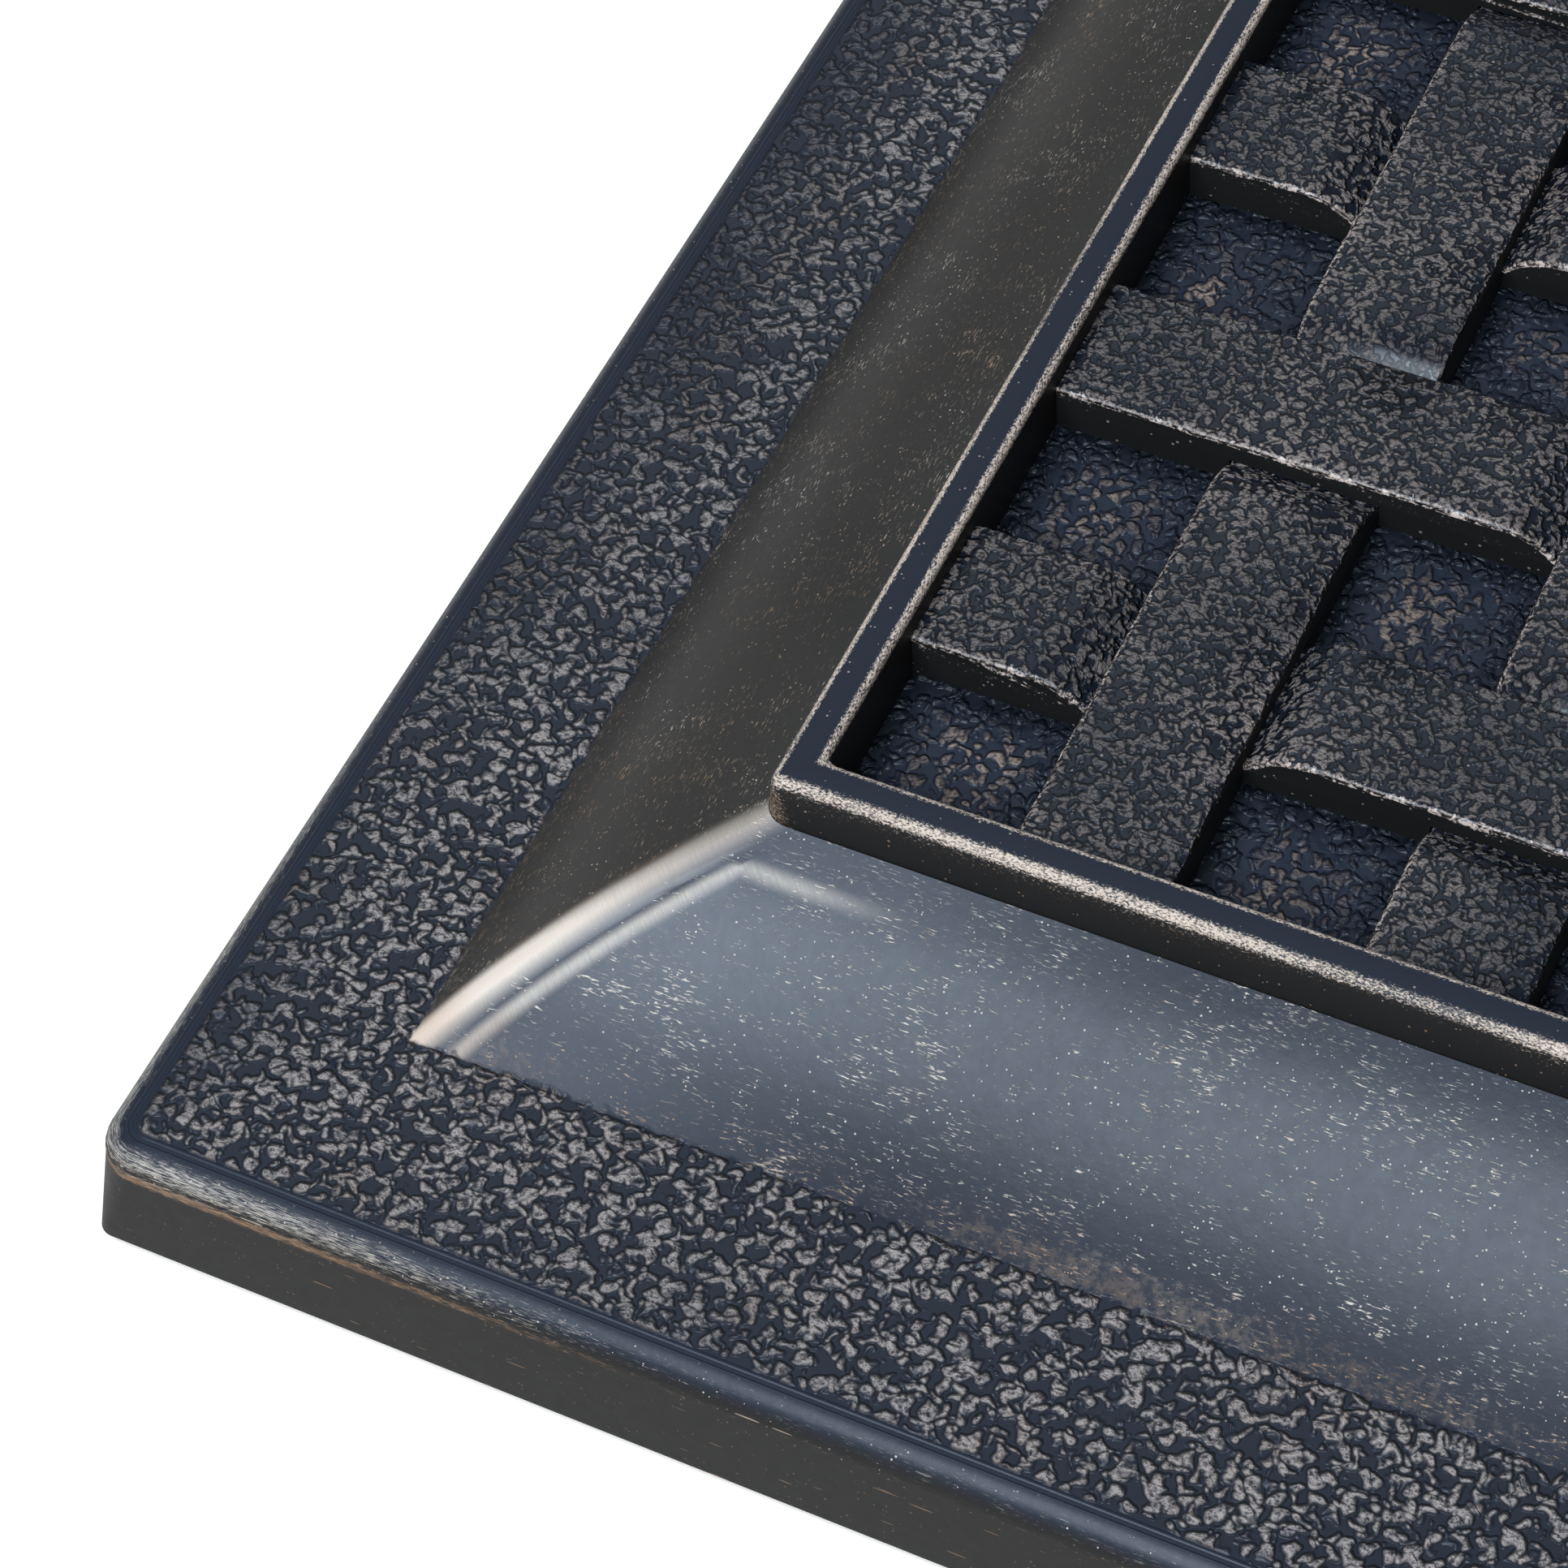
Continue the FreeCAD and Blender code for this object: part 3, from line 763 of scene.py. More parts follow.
    # Rubbed arris between wall and band, strongest at the corners
    at_corner = wiring.fall(corner, 14 * MM, 62 * MM)
    arris_zone = wiring.times(
        wiring.rise(z, z_band - 2.0 * MM, z_band - 1.1 * MM), wiring.fall(inset, 1.6 * MM, 3.0 * MM))
    low_line = wiring.near(z, z_band - 2.1 * MM, 0.1 * MM, 0.9 * MM)
    low_line = wiring.times(low_line, wiring.fall(inset, 1.4 * MM, 2.0 * MM))
    silver = wiring.times(arris_zone, wiring.add(0.02, wiring.times(at_corner, 0.3), wiring.times(slow, 0.3)))
    orange = wiring.times(low_line, wiring.add(0.1, wiring.times(at_corner, 0.38), wiring.times(slow, 0.2)))
    arris_mask = wiring.highest(silver, orange)
    streaked = wiring.vector(wiring.times(along, 0.07), wiring.times(inset, 1.5), wiring.times(z, 1.5))
    arris = wiring.group(
        shared["rub"], mask=arris_mask, vector=streaked, size=0.07 * MM, break_up=2.2)["Mask"]
    arris = wiring.highest(
        wiring.times(arris, 0.7), wiring.times(dots, wiring.highest(arris_zone, low_line), 0.6))

    # Wall with long thin scratches and a few specks
    wall_place = wiring.vector(wiring.times(along, 0.06), z, wiring.times(side, 10.0))
    scratches = wiring.group(shared["specks"], vector=wall_place, size=0.16 * MM, share=0.03)["Mask"]
    on_wall = wiring.fall(inset, 0.9 * MM, 1.6 * MM)
    wall_marks = wiring.times(wiring.highest(scratches, wiring.times(dots, 0.5)), on_wall, 0.5)

    rub = wiring.highest(band_rub, slope_rub, arris, wall_marks)
    at_foot = wiring.times(on_slope, wiring.fall(sharp, slope_foot + 1 * MM, slope_foot + 4 * MM))
    low_on_wall = wiring.fall(z, z_band - 2.0 * MM, z_band - 1.5 * MM)
    warmer = wiring.add(1.0, wiring.times(at_foot, -0.5), wiring.times(hip_mask, -0.4))
    chalky = wiring.highest(wiring.times(on_slope, warmer), arris_zone)
    grain_rub = wiring.blend(0.45, finish.cream, finish.sheen_and_tint_grey)
    pale = wiring.blend(chalky, wiring.blend(on_band, finish.cream, grain_rub), finish.chalk)
    left_of_hip = wiring.times(on_slope, wiring.fall(mitre, -2 * MM, -0.8 * MM))
    past_hip = wiring.rise(mitre, 3 * MM, 8 * MM)
    lean = wiring.add(
        wiring.times(low_on_wall, 0.45), wiring.times(at_foot, past_hip, 0.3), wiring.times(left_of_hip, 0.3))
    pigment = warm_pigment(wiring, finish, place, lean, pale)
    # Painted shade: the wall and the short-side slopes, which face away from the light, take the darker charcoal
    # copy of the rubber.
    shaded_faces = wiring.highest(on_wall, wiring.times(on_slope, wiring.add(1.0, wiring.times(side, -0.85))))
    plain = wiring.blend(shaded_faces, finish.rubber, finish.shaded_rubber)
    # Painted shade: the hollows between the band's pebbles are darkened towards the dark hollow colour.
    hollow_shade = wiring.times(on_band, wiring.fall(grain["Height"], 0.0, 0.35))
    plain = wiring.blend(wiring.times(hollow_shade, 0.5), plain, finish.crevice_shade)
    # Painted reflection: a cool sheen over the long-side slopes, strongest near the hip and fading along the
    # side.
    sheen_share = wiring.add(0.04, wiring.times(slow, 0.12), wiring.times(at_foot, 0.03))
    beyond = wiring.add(1.0, wiring.times(wiring.rise(mitre, 8 * MM, 40 * MM), -0.85))
    sheen_and_tint_grey = wiring.times(on_slope, side, sheen_share, beyond)
    plain = wiring.blend(sheen_and_tint_grey, plain, finish.sheen_and_tint_grey)
    # A faint chalk tint over the short-side slopes, in slow patches.
    short_slope_warm_tint = wiring.times(on_slope, wiring.rest(side), wiring.add(0.012, wiring.times(slow, 0.036)))
    plain = wiring.blend(short_slope_warm_tint, plain, finish.chalk)
    base = wiring.blend(wiring.times(rub, PIGMENT_COVER), plain, pigment)
    mottle = mottled(wiring, place)
    roughness = wiring.add(
        0.32, wiring.times(rub, 0.15), wiring.times(mottle, 0.12), wiring.times(on_wall, 0.2))
    lines = wiring.add(
        wiring.near(inset, 2.7 * MM, 0.03 * MM, 0.14 * MM), wiring.near(inset, 3.3 * MM, 0.05 * MM, 0.2 * MM))
    height = wiring.add(
        pebbles, wiring.times(lines, above, 0.09), wiring.times(mottle, 0.03), wiring.times(slope_rub, 0.05))
    finish_material(wiring, base, roughness, height, 0.7 * MM, coat=wiring.times(on_band, GRAIN_COAT))
    return material


def rim_material(finish, border, rim):
    """Smooth navy rim with rubbed arrises and painted shade on its sides."""
    material, wiring, place, normal = start_material("Worn Rim Rubber")
    shared = effects()
    outer = slope_top_inset(border) + rim.batter
    inner = outer + rim.top_width
    where = mat_places(wiring, place, outer + rim.top_round)
    inset, along, side = where["Inset"], where["Along"], where["Side"]
    z = wiring.split(place)[2]
    slow = wiring.noise(place, 35.0, 2.0, 0.5)
    high = wiring.rise(z, RIM_HIGH.z - 1.1 * MM, RIM_HIGH.z - 0.5 * MM)
    outer_reach = wiring.add(0.5 * MM, wiring.times(side, 0.35 * MM))
    outer_distance = wiring.size_of(wiring.less(inset, outer + 0.3 * MM))
    outer_share = wiring.math("DIVIDE", outer_distance, outer_reach)
    outer_mask = wiring.times(wiring.fall(outer_share, 0.1, 1.25), high)
    outer_mask = wiring.times(outer_mask, wiring.add(0.3, wiring.times(slow, 0.7)))
    face_mask = wiring.times(
        wiring.fall(inset, outer - 0.05 * MM, outer + 0.3 * MM),
        wiring.rise(z, BORDER_HIGH.z, RIM_HIGH.z), wiring.times(slow, 0.75))
    inner_mask = wiring.times(wiring.near(where["Sharp Inset"], inner - 0.2 * MM, 0.15 * MM, 0.7 * MM), high)
    inner_mask = wiring.times(inner_mask, wiring.add(0.42, wiring.times(slow, 0.4)))
    corner_mask = wiring.times(wiring.fall(where["Corner"], 55.4 * MM, 57.5 * MM), 0.5)
    streaked = wiring.vector(wiring.times(along, 0.5), inset, z)
    mask = wiring.highest(outer_mask, inner_mask, corner_mask, face_mask)
    rub = wiring.group(shared["rub"], mask=mask, vector=streaked, size=0.12 * MM, break_up=1.7)["Mask"]
    dots = wiring.group(shared["specks"], vector=place, size=0.3 * MM, share=0.05)["Mask"]
    marks = wiring.highest(rub, wiring.times(dots, 0.4))
    low = wiring.fall(z, RIM_HIGH.z - 1.6 * MM, RIM_HIGH.z - 0.7 * MM)
    pale = wiring.blend(0.35, finish.cream, finish.chalk)
    pigment = warm_pigment(wiring, finish, place, wiring.add(-0.05, wiring.times(low, 0.5)), pale)
    # Painted shade: faces of the rim that turn away from the top take the darker charcoal copy of the rubber; the
    # top stays navy.
    on_top = wiring.upward(normal, 0.3, 0.8)
    plain = wiring.blend(wiring.times(on_top, 0.9), finish.shaded_rubber, finish.rubber)
    base = wiring.blend(wiring.times(marks, PIGMENT_COVER), plain, pigment)
    mottle = mottled(wiring, place)
    roughness = wiring.add(0.4, wiring.times(marks, 0.2), wiring.times(mottle, 0.12))
    height = wiring.add(wiring.times(mottle, 0.25), wiring.times(marks, 0.2))
    finish_material(wiring, base, roughness, height, 0.05 * MM)
    return material


def strip_material(name, finish, across, pitch):
    """Fine pebbled strip with rubbed arrises, painted shade on its sides and in the hollows of its grain; across
    is the axis the strips are spaced along.
    """
    material, wiring, place, normal = start_material(name)
    shared = effects()
    spread = wiring.split(place)[across]
    offset = wiring.less(spread, wiring.nearest_multiple(spread, pitch))
    from_arris = wiring.less(STRIP_WIDTH / 2, wiring.size_of(offset))
    low_side = wiring.math("LESS_THAN", offset, 0.0)
    faces_up = wiring.upward(normal, 0.25, 0.7)
    slow = wiring.noise(place, 60.0, 2.0, 0.5)
    grain = wiring.group(shared["grain"], vector=place, size=finish.strip_pebble, spread=0.02)
    edge = wiring.fall(from_arris, 0.1 * MM, 1.3 * MM)
    edge = wiring.times(edge, wiring.add(0.3, wiring.times(low_side, 0.7)))
    share = wiring.add(0.15, wiring.times(wiring.rise(slow, 0.2, 0.8), 0.8), wiring.times(edge, 0.5))
    tops = wiring.times(grain["Tops"], share, faces_up, 0.6)
    above_side = wiring.upward(normal, 0.05, 0.3)
    worn = wiring.fall(from_arris, 0.1 * MM, 0.7 * MM)
    worn_share = wiring.add(0.12, wiring.times(low_side, 0.34), wiring.times(slow, 0.3))
    worn = wiring.times(worn, worn_share, above_side)
    arris = wiring.group(shared["rub"], mask=worn, vector=place, size=0.34 * MM, break_up=2.2)["Mask"]
    dots = wiring.group(shared["specks"], vector=place, size=0.36 * MM, share=0.04)["Mask"]
    rub = wiring.lowest(wiring.highest(tops, arris, wiring.times(dots, 0.35)), 1.0)
    pale = wiring.blend(0.25, finish.cream, finish.sheen_and_tint_grey)
    pigment = warm_pigment(wiring, finish, place, GRAINED_PIGMENT_LEAN, pale)
    # Painted shade: the hollows of the grain on the top darken towards the dark hollow colour, and the side faces
    # take a copy of the charcoal rubber at half its brightness.
    hollow_shade = wiring.fall(grain["Height"], 0.0, 0.35)
    plain = wiring.blend(faces_up, darker(finish.shaded_rubber, 0.5), finish.rubber)
    plain = wiring.blend(wiring.times(hollow_shade, faces_up, 0.8), plain, finish.crevice_shade)
    base = wiring.blend(wiring.times(rub, PIGMENT_COVER), plain, pigment)
    roughness = wiring.add(0.24, wiring.times(rub, 0.2), wiring.times(wiring.rest(faces_up), 0.5))
    height = wiring.times(grain["Height"], faces_up)
    finish_material(wiring, base, roughness, height, 0.55 * MM, coat=wiring.times(faces_up, GRAIN_COAT))
    return material


def tray_material(finish):
    """Wrinkled floor of the panel, rubbed in the middle of each pocket and darkened with painted shade towards
    the strips.
    """
    material, wiring, place, normal = start_material("Wrinkled Tray Rubber")
    shared = effects()
    x, y, _ = wiring.split(place)
    depth = []
    for value, pitch in ((x, WARP_PITCH), (y, WEFT_PITCH)):
        from_middle = wiring.size_of(wiring.less(value, wiring.nearest_multiple(value, pitch)))
        depth.append(wiring.less(from_middle, STRIP_WIDTH / 2))
    from_wall = wiring.lowest(*depth)
    grain = wiring.group(shared["grain"], vector=place, size=finish.floor_pebble, spread=0.06)
    middle = wiring.rise(from_wall, 1.5 * MM, 5.0 * MM)
    slow = wiring.noise(place, 120.0, 2.0, 0.5)
    rub = wiring.times(grain["Tops"], middle, wiring.rise(slow, 0.3, 0.8), 0.45)
    # Painted shade: the floor darkens to the dark hollow colour within 3 mm of the strips, where they shade it.
    plain = wiring.blend(wiring.rise(from_wall, 0.0, 3 * MM), finish.crevice_shade, finish.rubber)
    base = wiring.blend(rub, plain, warm_pigment(wiring, finish, place, 0.0))
    soft = wiring.noise(place, 560.0, 1.5, 0.5, 0.2)
    height = wiring.add(wiring.times(grain["Height"], 0.8), wiring.times(soft, 0.9))
    height = wiring.times(height, wiring.upward(normal, 0.3, 0.8))
    finish_material(wiring, base, wiring.add(0.36, wiring.times(rub, 0.2)), height, 0.4 * MM)
    return material


def foot_material(finish):
    """Matt black rubber with a fine tooth."""
    material, wiring, place, _ = start_material("Grip Foot Rubber")
    tooth = wiring.noise(place, 1600.0, 3.0, 0.6)
    base = wiring.blend(tooth, finish.foot_rubber, darker(finish.foot_rubber, 0.5))
    finish_material(wiring, base, wiring.add(0.62, wiring.times(tooth, 0.2)), tooth, 0.04 * MM)
    return material


def steel_material(finish):
    """Spring steel with fine rolling marks."""
    material, wiring, place, _ = start_material("Retainer Steel")
    x, y, z = wiring.split(place)
    marks = wiring.noise(wiring.vector(x, wiring.times(y, 12.0), z), 900.0, 3.0, 0.6)
    base = wiring.blend(wiring.times(marks, 0.5), finish.steel, darker(finish.steel, 0.6))
    finish_material(wiring, base, wiring.add(0.25, wiring.times(marks, 0.25)), marks, 0.01 * MM, metallic=1.0)
    return material


# Profiles

def wall_profile(border):
    """Outer face from the foot of the wall over the arris to the band."""
    z_foot = BORDER_LOW.z
    z_band = band_height(border)
    lean = math.atan2(border.wall_draft, border.wall_height)
    z_centre = z_band - border.edge_round
    touch_height = z_centre + border.edge_round * math.sin(lean)
    touch_inset = (touch_height - z_foot) * math.tan(lean)
    centre = touch_inset + border.edge_round * math.cos(lean)
    rings = [
        (border.foot_round, z_foot, border.corner_at_foot),
        (border.foot_round * math.tan(lean), z_foot + border.foot_round, border.corner_at_foot),
        (touch_inset, touch_height, border.corner_at_top),
    ]
    steps = 8
    for step in range(1, steps + 1):
        turn = mixed(lean, math.pi / 2, step / steps)
        inset = centre - border.edge_round * math.cos(turn)
        radius = mixed(border.corner_at_top, border.corner_of_band, step / steps)
        rings.append((inset, z_centre + border.edge_round * math.sin(turn), radius))
    return rings


def slope_profile(border):
    """Slope from the band up to the rim, a round bulge that is steepest at its foot."""
    start = (slope_foot_inset(border), band_height(border))
    end = (start[0] + border.slope_width, BORDER_HIGH.z)
    run = math.hypot(end[0] - start[0], end[1] - start[1])
    stand_out = border.slope_bulge / run
    middle = ((start[0] + end[0]) / 2 - (end[1] - start[1]) * stand_out,
              (start[1] + end[1]) / 2 + (end[0] - start[0]) * stand_out)
    steps = 14
    rings = [(start[0], start[1], border.hip_at_foot)]
    for number, (inset, height) in enumerate(arc_points(start, middle, end, steps)):
        share = math.sin((number + 1) / steps * math.pi / 2)
        rings.append((inset, height, mixed(border.hip_at_foot, border.hip_at_top, share)))
    return rings


def underside_profile(border):
    """Seat for the panel, ledge, inner leg and the channel back to the wall."""
    z_foot = BORDER_LOW.z
    z_ledge = seat_height()
    seat_inset = slope_top_inset(border)
    leg_inner = border.leg_inset + border.leg_thickness
    z_under_ledge = z_ledge - border.ledge_thickness
    z_under_band = band_height(border) - border.shell_thickness
    under_start = slope_foot_inset(border) + border.slope_shell_shift
    under_end = seat_inset - border.slope_shell_shift
    tight = 1.0 * MM
    return [
        (seat_inset, z_ledge, tight),
        (leg_inner, z_ledge, tight),
        (leg_inner, z_foot, tight),
        (border.leg_inset, z_foot, tight),
        (border.leg_inset, z_under_ledge, tight),
        (under_end, z_under_ledge, tight),
        (under_start, z_under_band, tight),
        (border.wall_thickness + border.wall_draft, z_under_band, tight),
        (border.wall_thickness, z_foot, tight),
    ]


def raise_second_hip(border):
    """Cuts the slope beside the hip and lifts the second hip out of it, with a valley between."""
    z_band = band_height(border)
    foot = slope_foot_inset(border)
    turn = foot + border.slope_width - border.second_hip_turn
    corner = Vector((MAT_LOW.x, MAT_LOW.y, 0))

    def on_long_slope(middle, _):
        inset = middle.y - corner.y
        return middle.z > z_band and foot < inset < foot + border.slope_width and middle.x - corner.x > inset

    offsets = [
        border.hip_valley - 1.1 * MM, border.hip_valley, mixed(border.hip_valley, border.second_hip, 0.55),
        border.second_hip, border.second_hip + 0.8 * MM, border.second_hip + 2 * MM]
    for offset in offsets:
        select_faces(on_long_slope)
        bpy.ops.mesh.bisect(plane_co=corner + Vector((offset, 0, 0)), plane_no=(1, -1, 0))
    bpy.context.tool_settings.mesh_select_mode = (True, False, False)
    for offset, lift in zip(offsets[1:5], (-0.8, 0.1, 1.0, 0.45)):
        def on_line(point):
            inset = point.y - corner.y
            away = point.x - corner.x - inset
            return abs(away - offset) < 0.02 * MM and foot + 0.2 * MM < inset < turn and point.z > z_band
        select_points(on_line)
        move_by((0, -0.4 * border.hip_relief * lift, 0.9 * border.hip_relief * lift))


def panel_inner_edge(scene, half_size):
    """Half size of the opening inside the rim."""
    rim = scene.door_mat_rim
    return half_size - (slope_top_inset(scene.door_mat_border) + rim.batter + rim.top_width)


def channel_rib(border, place, along_x):
    """Thin rib that fills the channel's section on both opposite sides of the mat."""
    z_foot = BORDER_LOW.z
    z_under_band = band_height(border) - border.shell_thickness
    rise = seat_height() - border.ledge_thickness - z_under_band
    start = slope_foot_inset(border) + border.slope_shell_shift
    end = slope_top_inset(border) - border.slope_shell_shift
    inner = border.leg_inset + 0.5 * border.leg_thickness
    outer = border.wall_thickness / 2 + border.wall_draft
    half = -MAT_LOW.y if along_x else -MAT_LOW.x
    into_shell = 0.05 * MM
    ribs = []
    for direction in (-1, 1):
        pick()
        bpy.ops.mesh.primitive_cube_add(size=1)
        rib = bpy.context.object
        edit_points()
        select_all_parts()
        bpy.ops.transform.resize(value=(inner - outer, border.rib_thickness, z_under_band - z_foot))
        move_by(((inner + outer) / 2, 0, (z_foot + z_under_band) / 2))
        for inset in (start, end):
            select_all_parts()
            bpy.ops.mesh.bisect(plane_co=(inset, 0, 0), plane_no=(1, 0, 0))
        select_points(lambda p: p.x > end - 0.1 * MM and p.z > z_under_band - 0.1 * MM)
        move_by((0, 0, rise))
        select_all_parts()
        move_by((0, 0, into_shell))
        turn_outwards()
        bpy.ops.object.mode_set(mode="OBJECT")
        turn = {(True, -1): 90, (True, 1): -90, (False, -1): 0, (False, 1): 180}[(along_x, direction)]
        rib.rotation_euler.z = math.radians(turn)
        rib.location = (place, direction * half, 0) if along_x else (direction * half, place, 0)
        bpy.ops.object.transform_apply(location=True, rotation=True, scale=True)
        ribs.append(rib)
    return ribs


def spread(count, span):
    """Even places over a span, half a step in from its ends."""
    return [(number + 0.5) / count * span - span / 2 for number in range(count)]


def on_all_sides(along_long, along_short, inset):
    """Places on the four sides of the rectangle at this inset."""
    x_side, y_side = MAT_HIGH.x - inset, MAT_HIGH.y - inset
    places = [(x, side * y_side) for side in (-1, 1) for x in along_long]
    return places + [(side * x_side, y) for side in (-1, 1) for y in along_short]


def cylinder(place, diameter, z_low, z_high):
    """Upright cylinder as an object of its own."""
    pick()
    bpy.ops.mesh.primitive_cylinder_add(
        radius=diameter / 2, depth=z_high - z_low, vertices=ROUND_STEPS,
        location=(*place, (z_low + z_high) / 2))
    made = bpy.context.object
    bpy.ops.object.transform_apply(location=True, rotation=True, scale=True)
    return made


def foot_boss(border, place):
    """Boss from the foot's top into the shell above, with a blind bore for the foot's stem."""
    z_low = FEET_LOW.z + FOOT_THICKNESS
    boss = cylinder(place, border.boss_diameter, z_low, band_height(border) - BOSS_COVER)
    bpy.ops.object.mode_set(mode="EDIT")
    select_faces(lambda _, normal: normal.z < -0.5)
    bpy.ops.mesh.inset(thickness=(border.boss_diameter - border.stem_diameter) / 2)
    extrude_by((0, 0, border.stem_depth))
    turn_outwards()
    bpy.ops.object.mode_set(mode="OBJECT")
    bpy.ops.object.shade_smooth_by_angle(angle=math.radians(MOULDING_SMOOTH_ANGLE))
    return boss


def foot_bosses(border):
    """Bosses at the corners and between them."""
    inset = (border.wall_thickness + border.leg_inset) / 2
    x_corner, y_corner = MAT_HIGH.x - inset, MAT_HIGH.y - inset
    steps_long, steps_short = border.feet_between_long + 1, border.feet_between_short + 1
    along_long = [x_corner * (2 * step / steps_long - 1) for step in range(steps_long + 1)]
    along_short = [y_corner * (2 * step / steps_short - 1) for step in range(1, steps_short)]
    return [foot_boss(border, place) for place in on_all_sides(along_long, along_short, inset)]


def rim_pegs(rim, half_opening, inset):
    """Pegs under the rim, each beside a gap between strips."""
    rows = []
    sides = ((rim.pegs_long, half_opening[0], WARP_NODES, WARP_PITCH),
             (rim.pegs_short, half_opening[1], WEFT_NODES, WEFT_PITCH))
    for count, half, nodes, pitch in sides:
        gaps = [(number - len(nodes) / 2) * pitch for number in range(len(nodes) + 1)]
        rows.append([min(gaps, key=lambda gap: abs(gap - target)) for target in spread(count, 2 * half)])
    z_high = TRAY_HIGH.z + PEG_ROOT
    return [cylinder(place, rim.peg_diameter, RIM_LOW.z, z_high) for place in on_all_sides(*rows, inset)]


# Strips

def strip_side_view(places, over, end):
    """Side view of a strip as points (along, height), anticlockwise, for an opening of half size end."""
    strips = bpy.context.scene.door_mat_strips
    half = STRIP_WIDTH / 2 + strips.lap_clearance
    z_dive = STRIP_MIDDLE - strips.lap_clearance
    z_notch = STRIP_MIDDLE + strips.lap_clearance
    drop = STRIP_TOP - z_dive
    radius = (strips.dive_length ** 2 + drop ** 2) / (2 * drop)
    steps = 5
    roll = []
    for step in range(steps + 1):
        turn = math.asin(strips.dive_length / radius) * step / steps
        roll.append((radius * math.sin(turn), radius * (1 - math.cos(turn))))
    top = [(-end, TRAY_HIGH.z), (-end, STRIP_TOP)]
    for place, goes_over in zip(places, over):
        if goes_over:
            continue
        shoulder = half + strips.dive_length
        top += [(place - shoulder + run, STRIP_TOP - fall) for run, fall in roll]
        top += [(place + shoulder - run, STRIP_TOP - fall) for run, fall in reversed(roll)]
    top += [(end, STRIP_TOP), (end, TRAY_HIGH.z)]
    bottom = []
    for place, goes_over in reversed(list(zip(places, over))):
        if goes_over:
            bottom += [(place + half, TRAY_HIGH.z), (place + half, z_notch)]
            bottom += [(place - half, z_notch), (place - half, TRAY_HIGH.z)]
    return top + bottom


def strip_model(name, places, over, end):
    """One strip along X at Y zero: its side view drawn point by point, filled and drawn out sideways."""
    strips = bpy.context.scene.door_mat_strips
    outline = strip_side_view(places, over, end)
    piece = new_piece(name)
    select_all_parts()
    bpy.ops.mesh.merge(type="CENTER")
    select_all_parts()
    move_by((outline[0][0], -STRIP_WIDTH / 2, outline[0][1]))
    for before, after in zip(outline, outline[1:]):
        extrude_by((after[0] - before[0], 0, after[1] - before[1]))
    select_all_parts()
    bpy.ops.mesh.edge_face_add()
    extrude_by((0, STRIP_WIDTH, 0))
    z_notch = STRIP_MIDDLE + strips.lap_clearance
    lowest = max(STRIP_MIDDLE - 2 * strips.lap_clearance, TRAY_HIGH.z + 0.2 * MM)

    def is_top_arris(a, b):
        """Along either side, above the middle of the height and not in a notch."""
        on_side = abs(a.y - b.y) < MERGE_DISTANCE < abs(a.x - b.x)
        in_notch = abs(a.z - b.z) < MERGE_DISTANCE and abs(a.z - z_notch) < MERGE_DISTANCE
        return on_side and min(a.z, b.z) > lowest and not in_notch

    select_edges(lambda a, b: is_top_arris(a, b) and (a - b).length > LONG_ARRIS)
    bpy.ops.mesh.subdivide(number_cuts=ARRIS_CUTS)
    select_edges(is_top_arris)
    bpy.ops.mesh.bevel(affect="EDGES", offset=strips.arris_round, segments=3)
    close_up(STRIP_SMOOTH_ANGLE)
    return piece


def wear_arrises(seed):
    """Lets the top arrises of the strip being edited wander, differently on every strip."""
    strips = bpy.context.scene.door_mat_strips
    edit_points()
    at_side = STRIP_WIDTH / 2 - strips.arris_round - 0.05 * MM
    half_height = mixed(TRAY_HIGH.z, STRIP_TOP, 0.55)
    select_points(lambda p: abs(p.y) > at_side and p.z > half_height)
    bpy.ops.transform.vertex_random(offset=strips.arris_wander, seed=seed)
    bpy.ops.object.mode_set(mode="OBJECT")


def copy_strip(model, name, shift, turned, seed):
    """Copy of a strip with its own mesh, set in place in the weave."""
    pick(model)
    bpy.ops.object.duplicate()
    strip = bpy.context.object
    strip.name = name
    strip.data.name = name
    wear_arrises(seed)
    if turned:
        strip.rotation_euler.z = math.radians(90)
        strip.location.x = shift
    else:
        strip.location.y = shift
    return strip


def centred(number, count, pitch):
    """Place of one of so many things set out evenly about the middle."""
    return (number - (count - 1) / 2) * pitch


def weave(scene, across_mat):
    """All strips of one direction: two models, one for each phase of the weave, copied into place."""
    warp, weft = (WARP_NODES, WARP_PITCH, "warp"), (WEFT_NODES, WEFT_PITCH, "weft")
    (nodes, pitch, kind), (crossed, cross_pitch, _) = (warp, weft) if across_mat else (weft, warp)
    material = strip_material(f"Worn {kind.title()} Rubber", scene.door_mat_finish, 0 if across_mat else 1, pitch)
    half_opening = panel_inner_edge(scene, MAT_HIGH.y if across_mat else MAT_HIGH.x)
    over_parity = 0 if across_mat else 1
    cross = [centred(number, len(crossed), cross_pitch) for number in range(len(crossed))]
    models = []
    for parity in (0, 1):
        over = [(parity + number) % 2 == over_parity for number in range(len(crossed))]
        models.append(strip_model(f"{kind}_band_model_{parity}", cross, over, half_opening))
    for number, node in enumerate(nodes):
        name = f"{kind}_band_{number + 1:02d}"
        strip = copy_strip(models[number % 2], name, centred(number, len(nodes), pitch), across_mat, number)
        settle(strip, material, "grained_rubber", node)
    for model in models:
        bpy.data.objects.remove(model)


# Operators

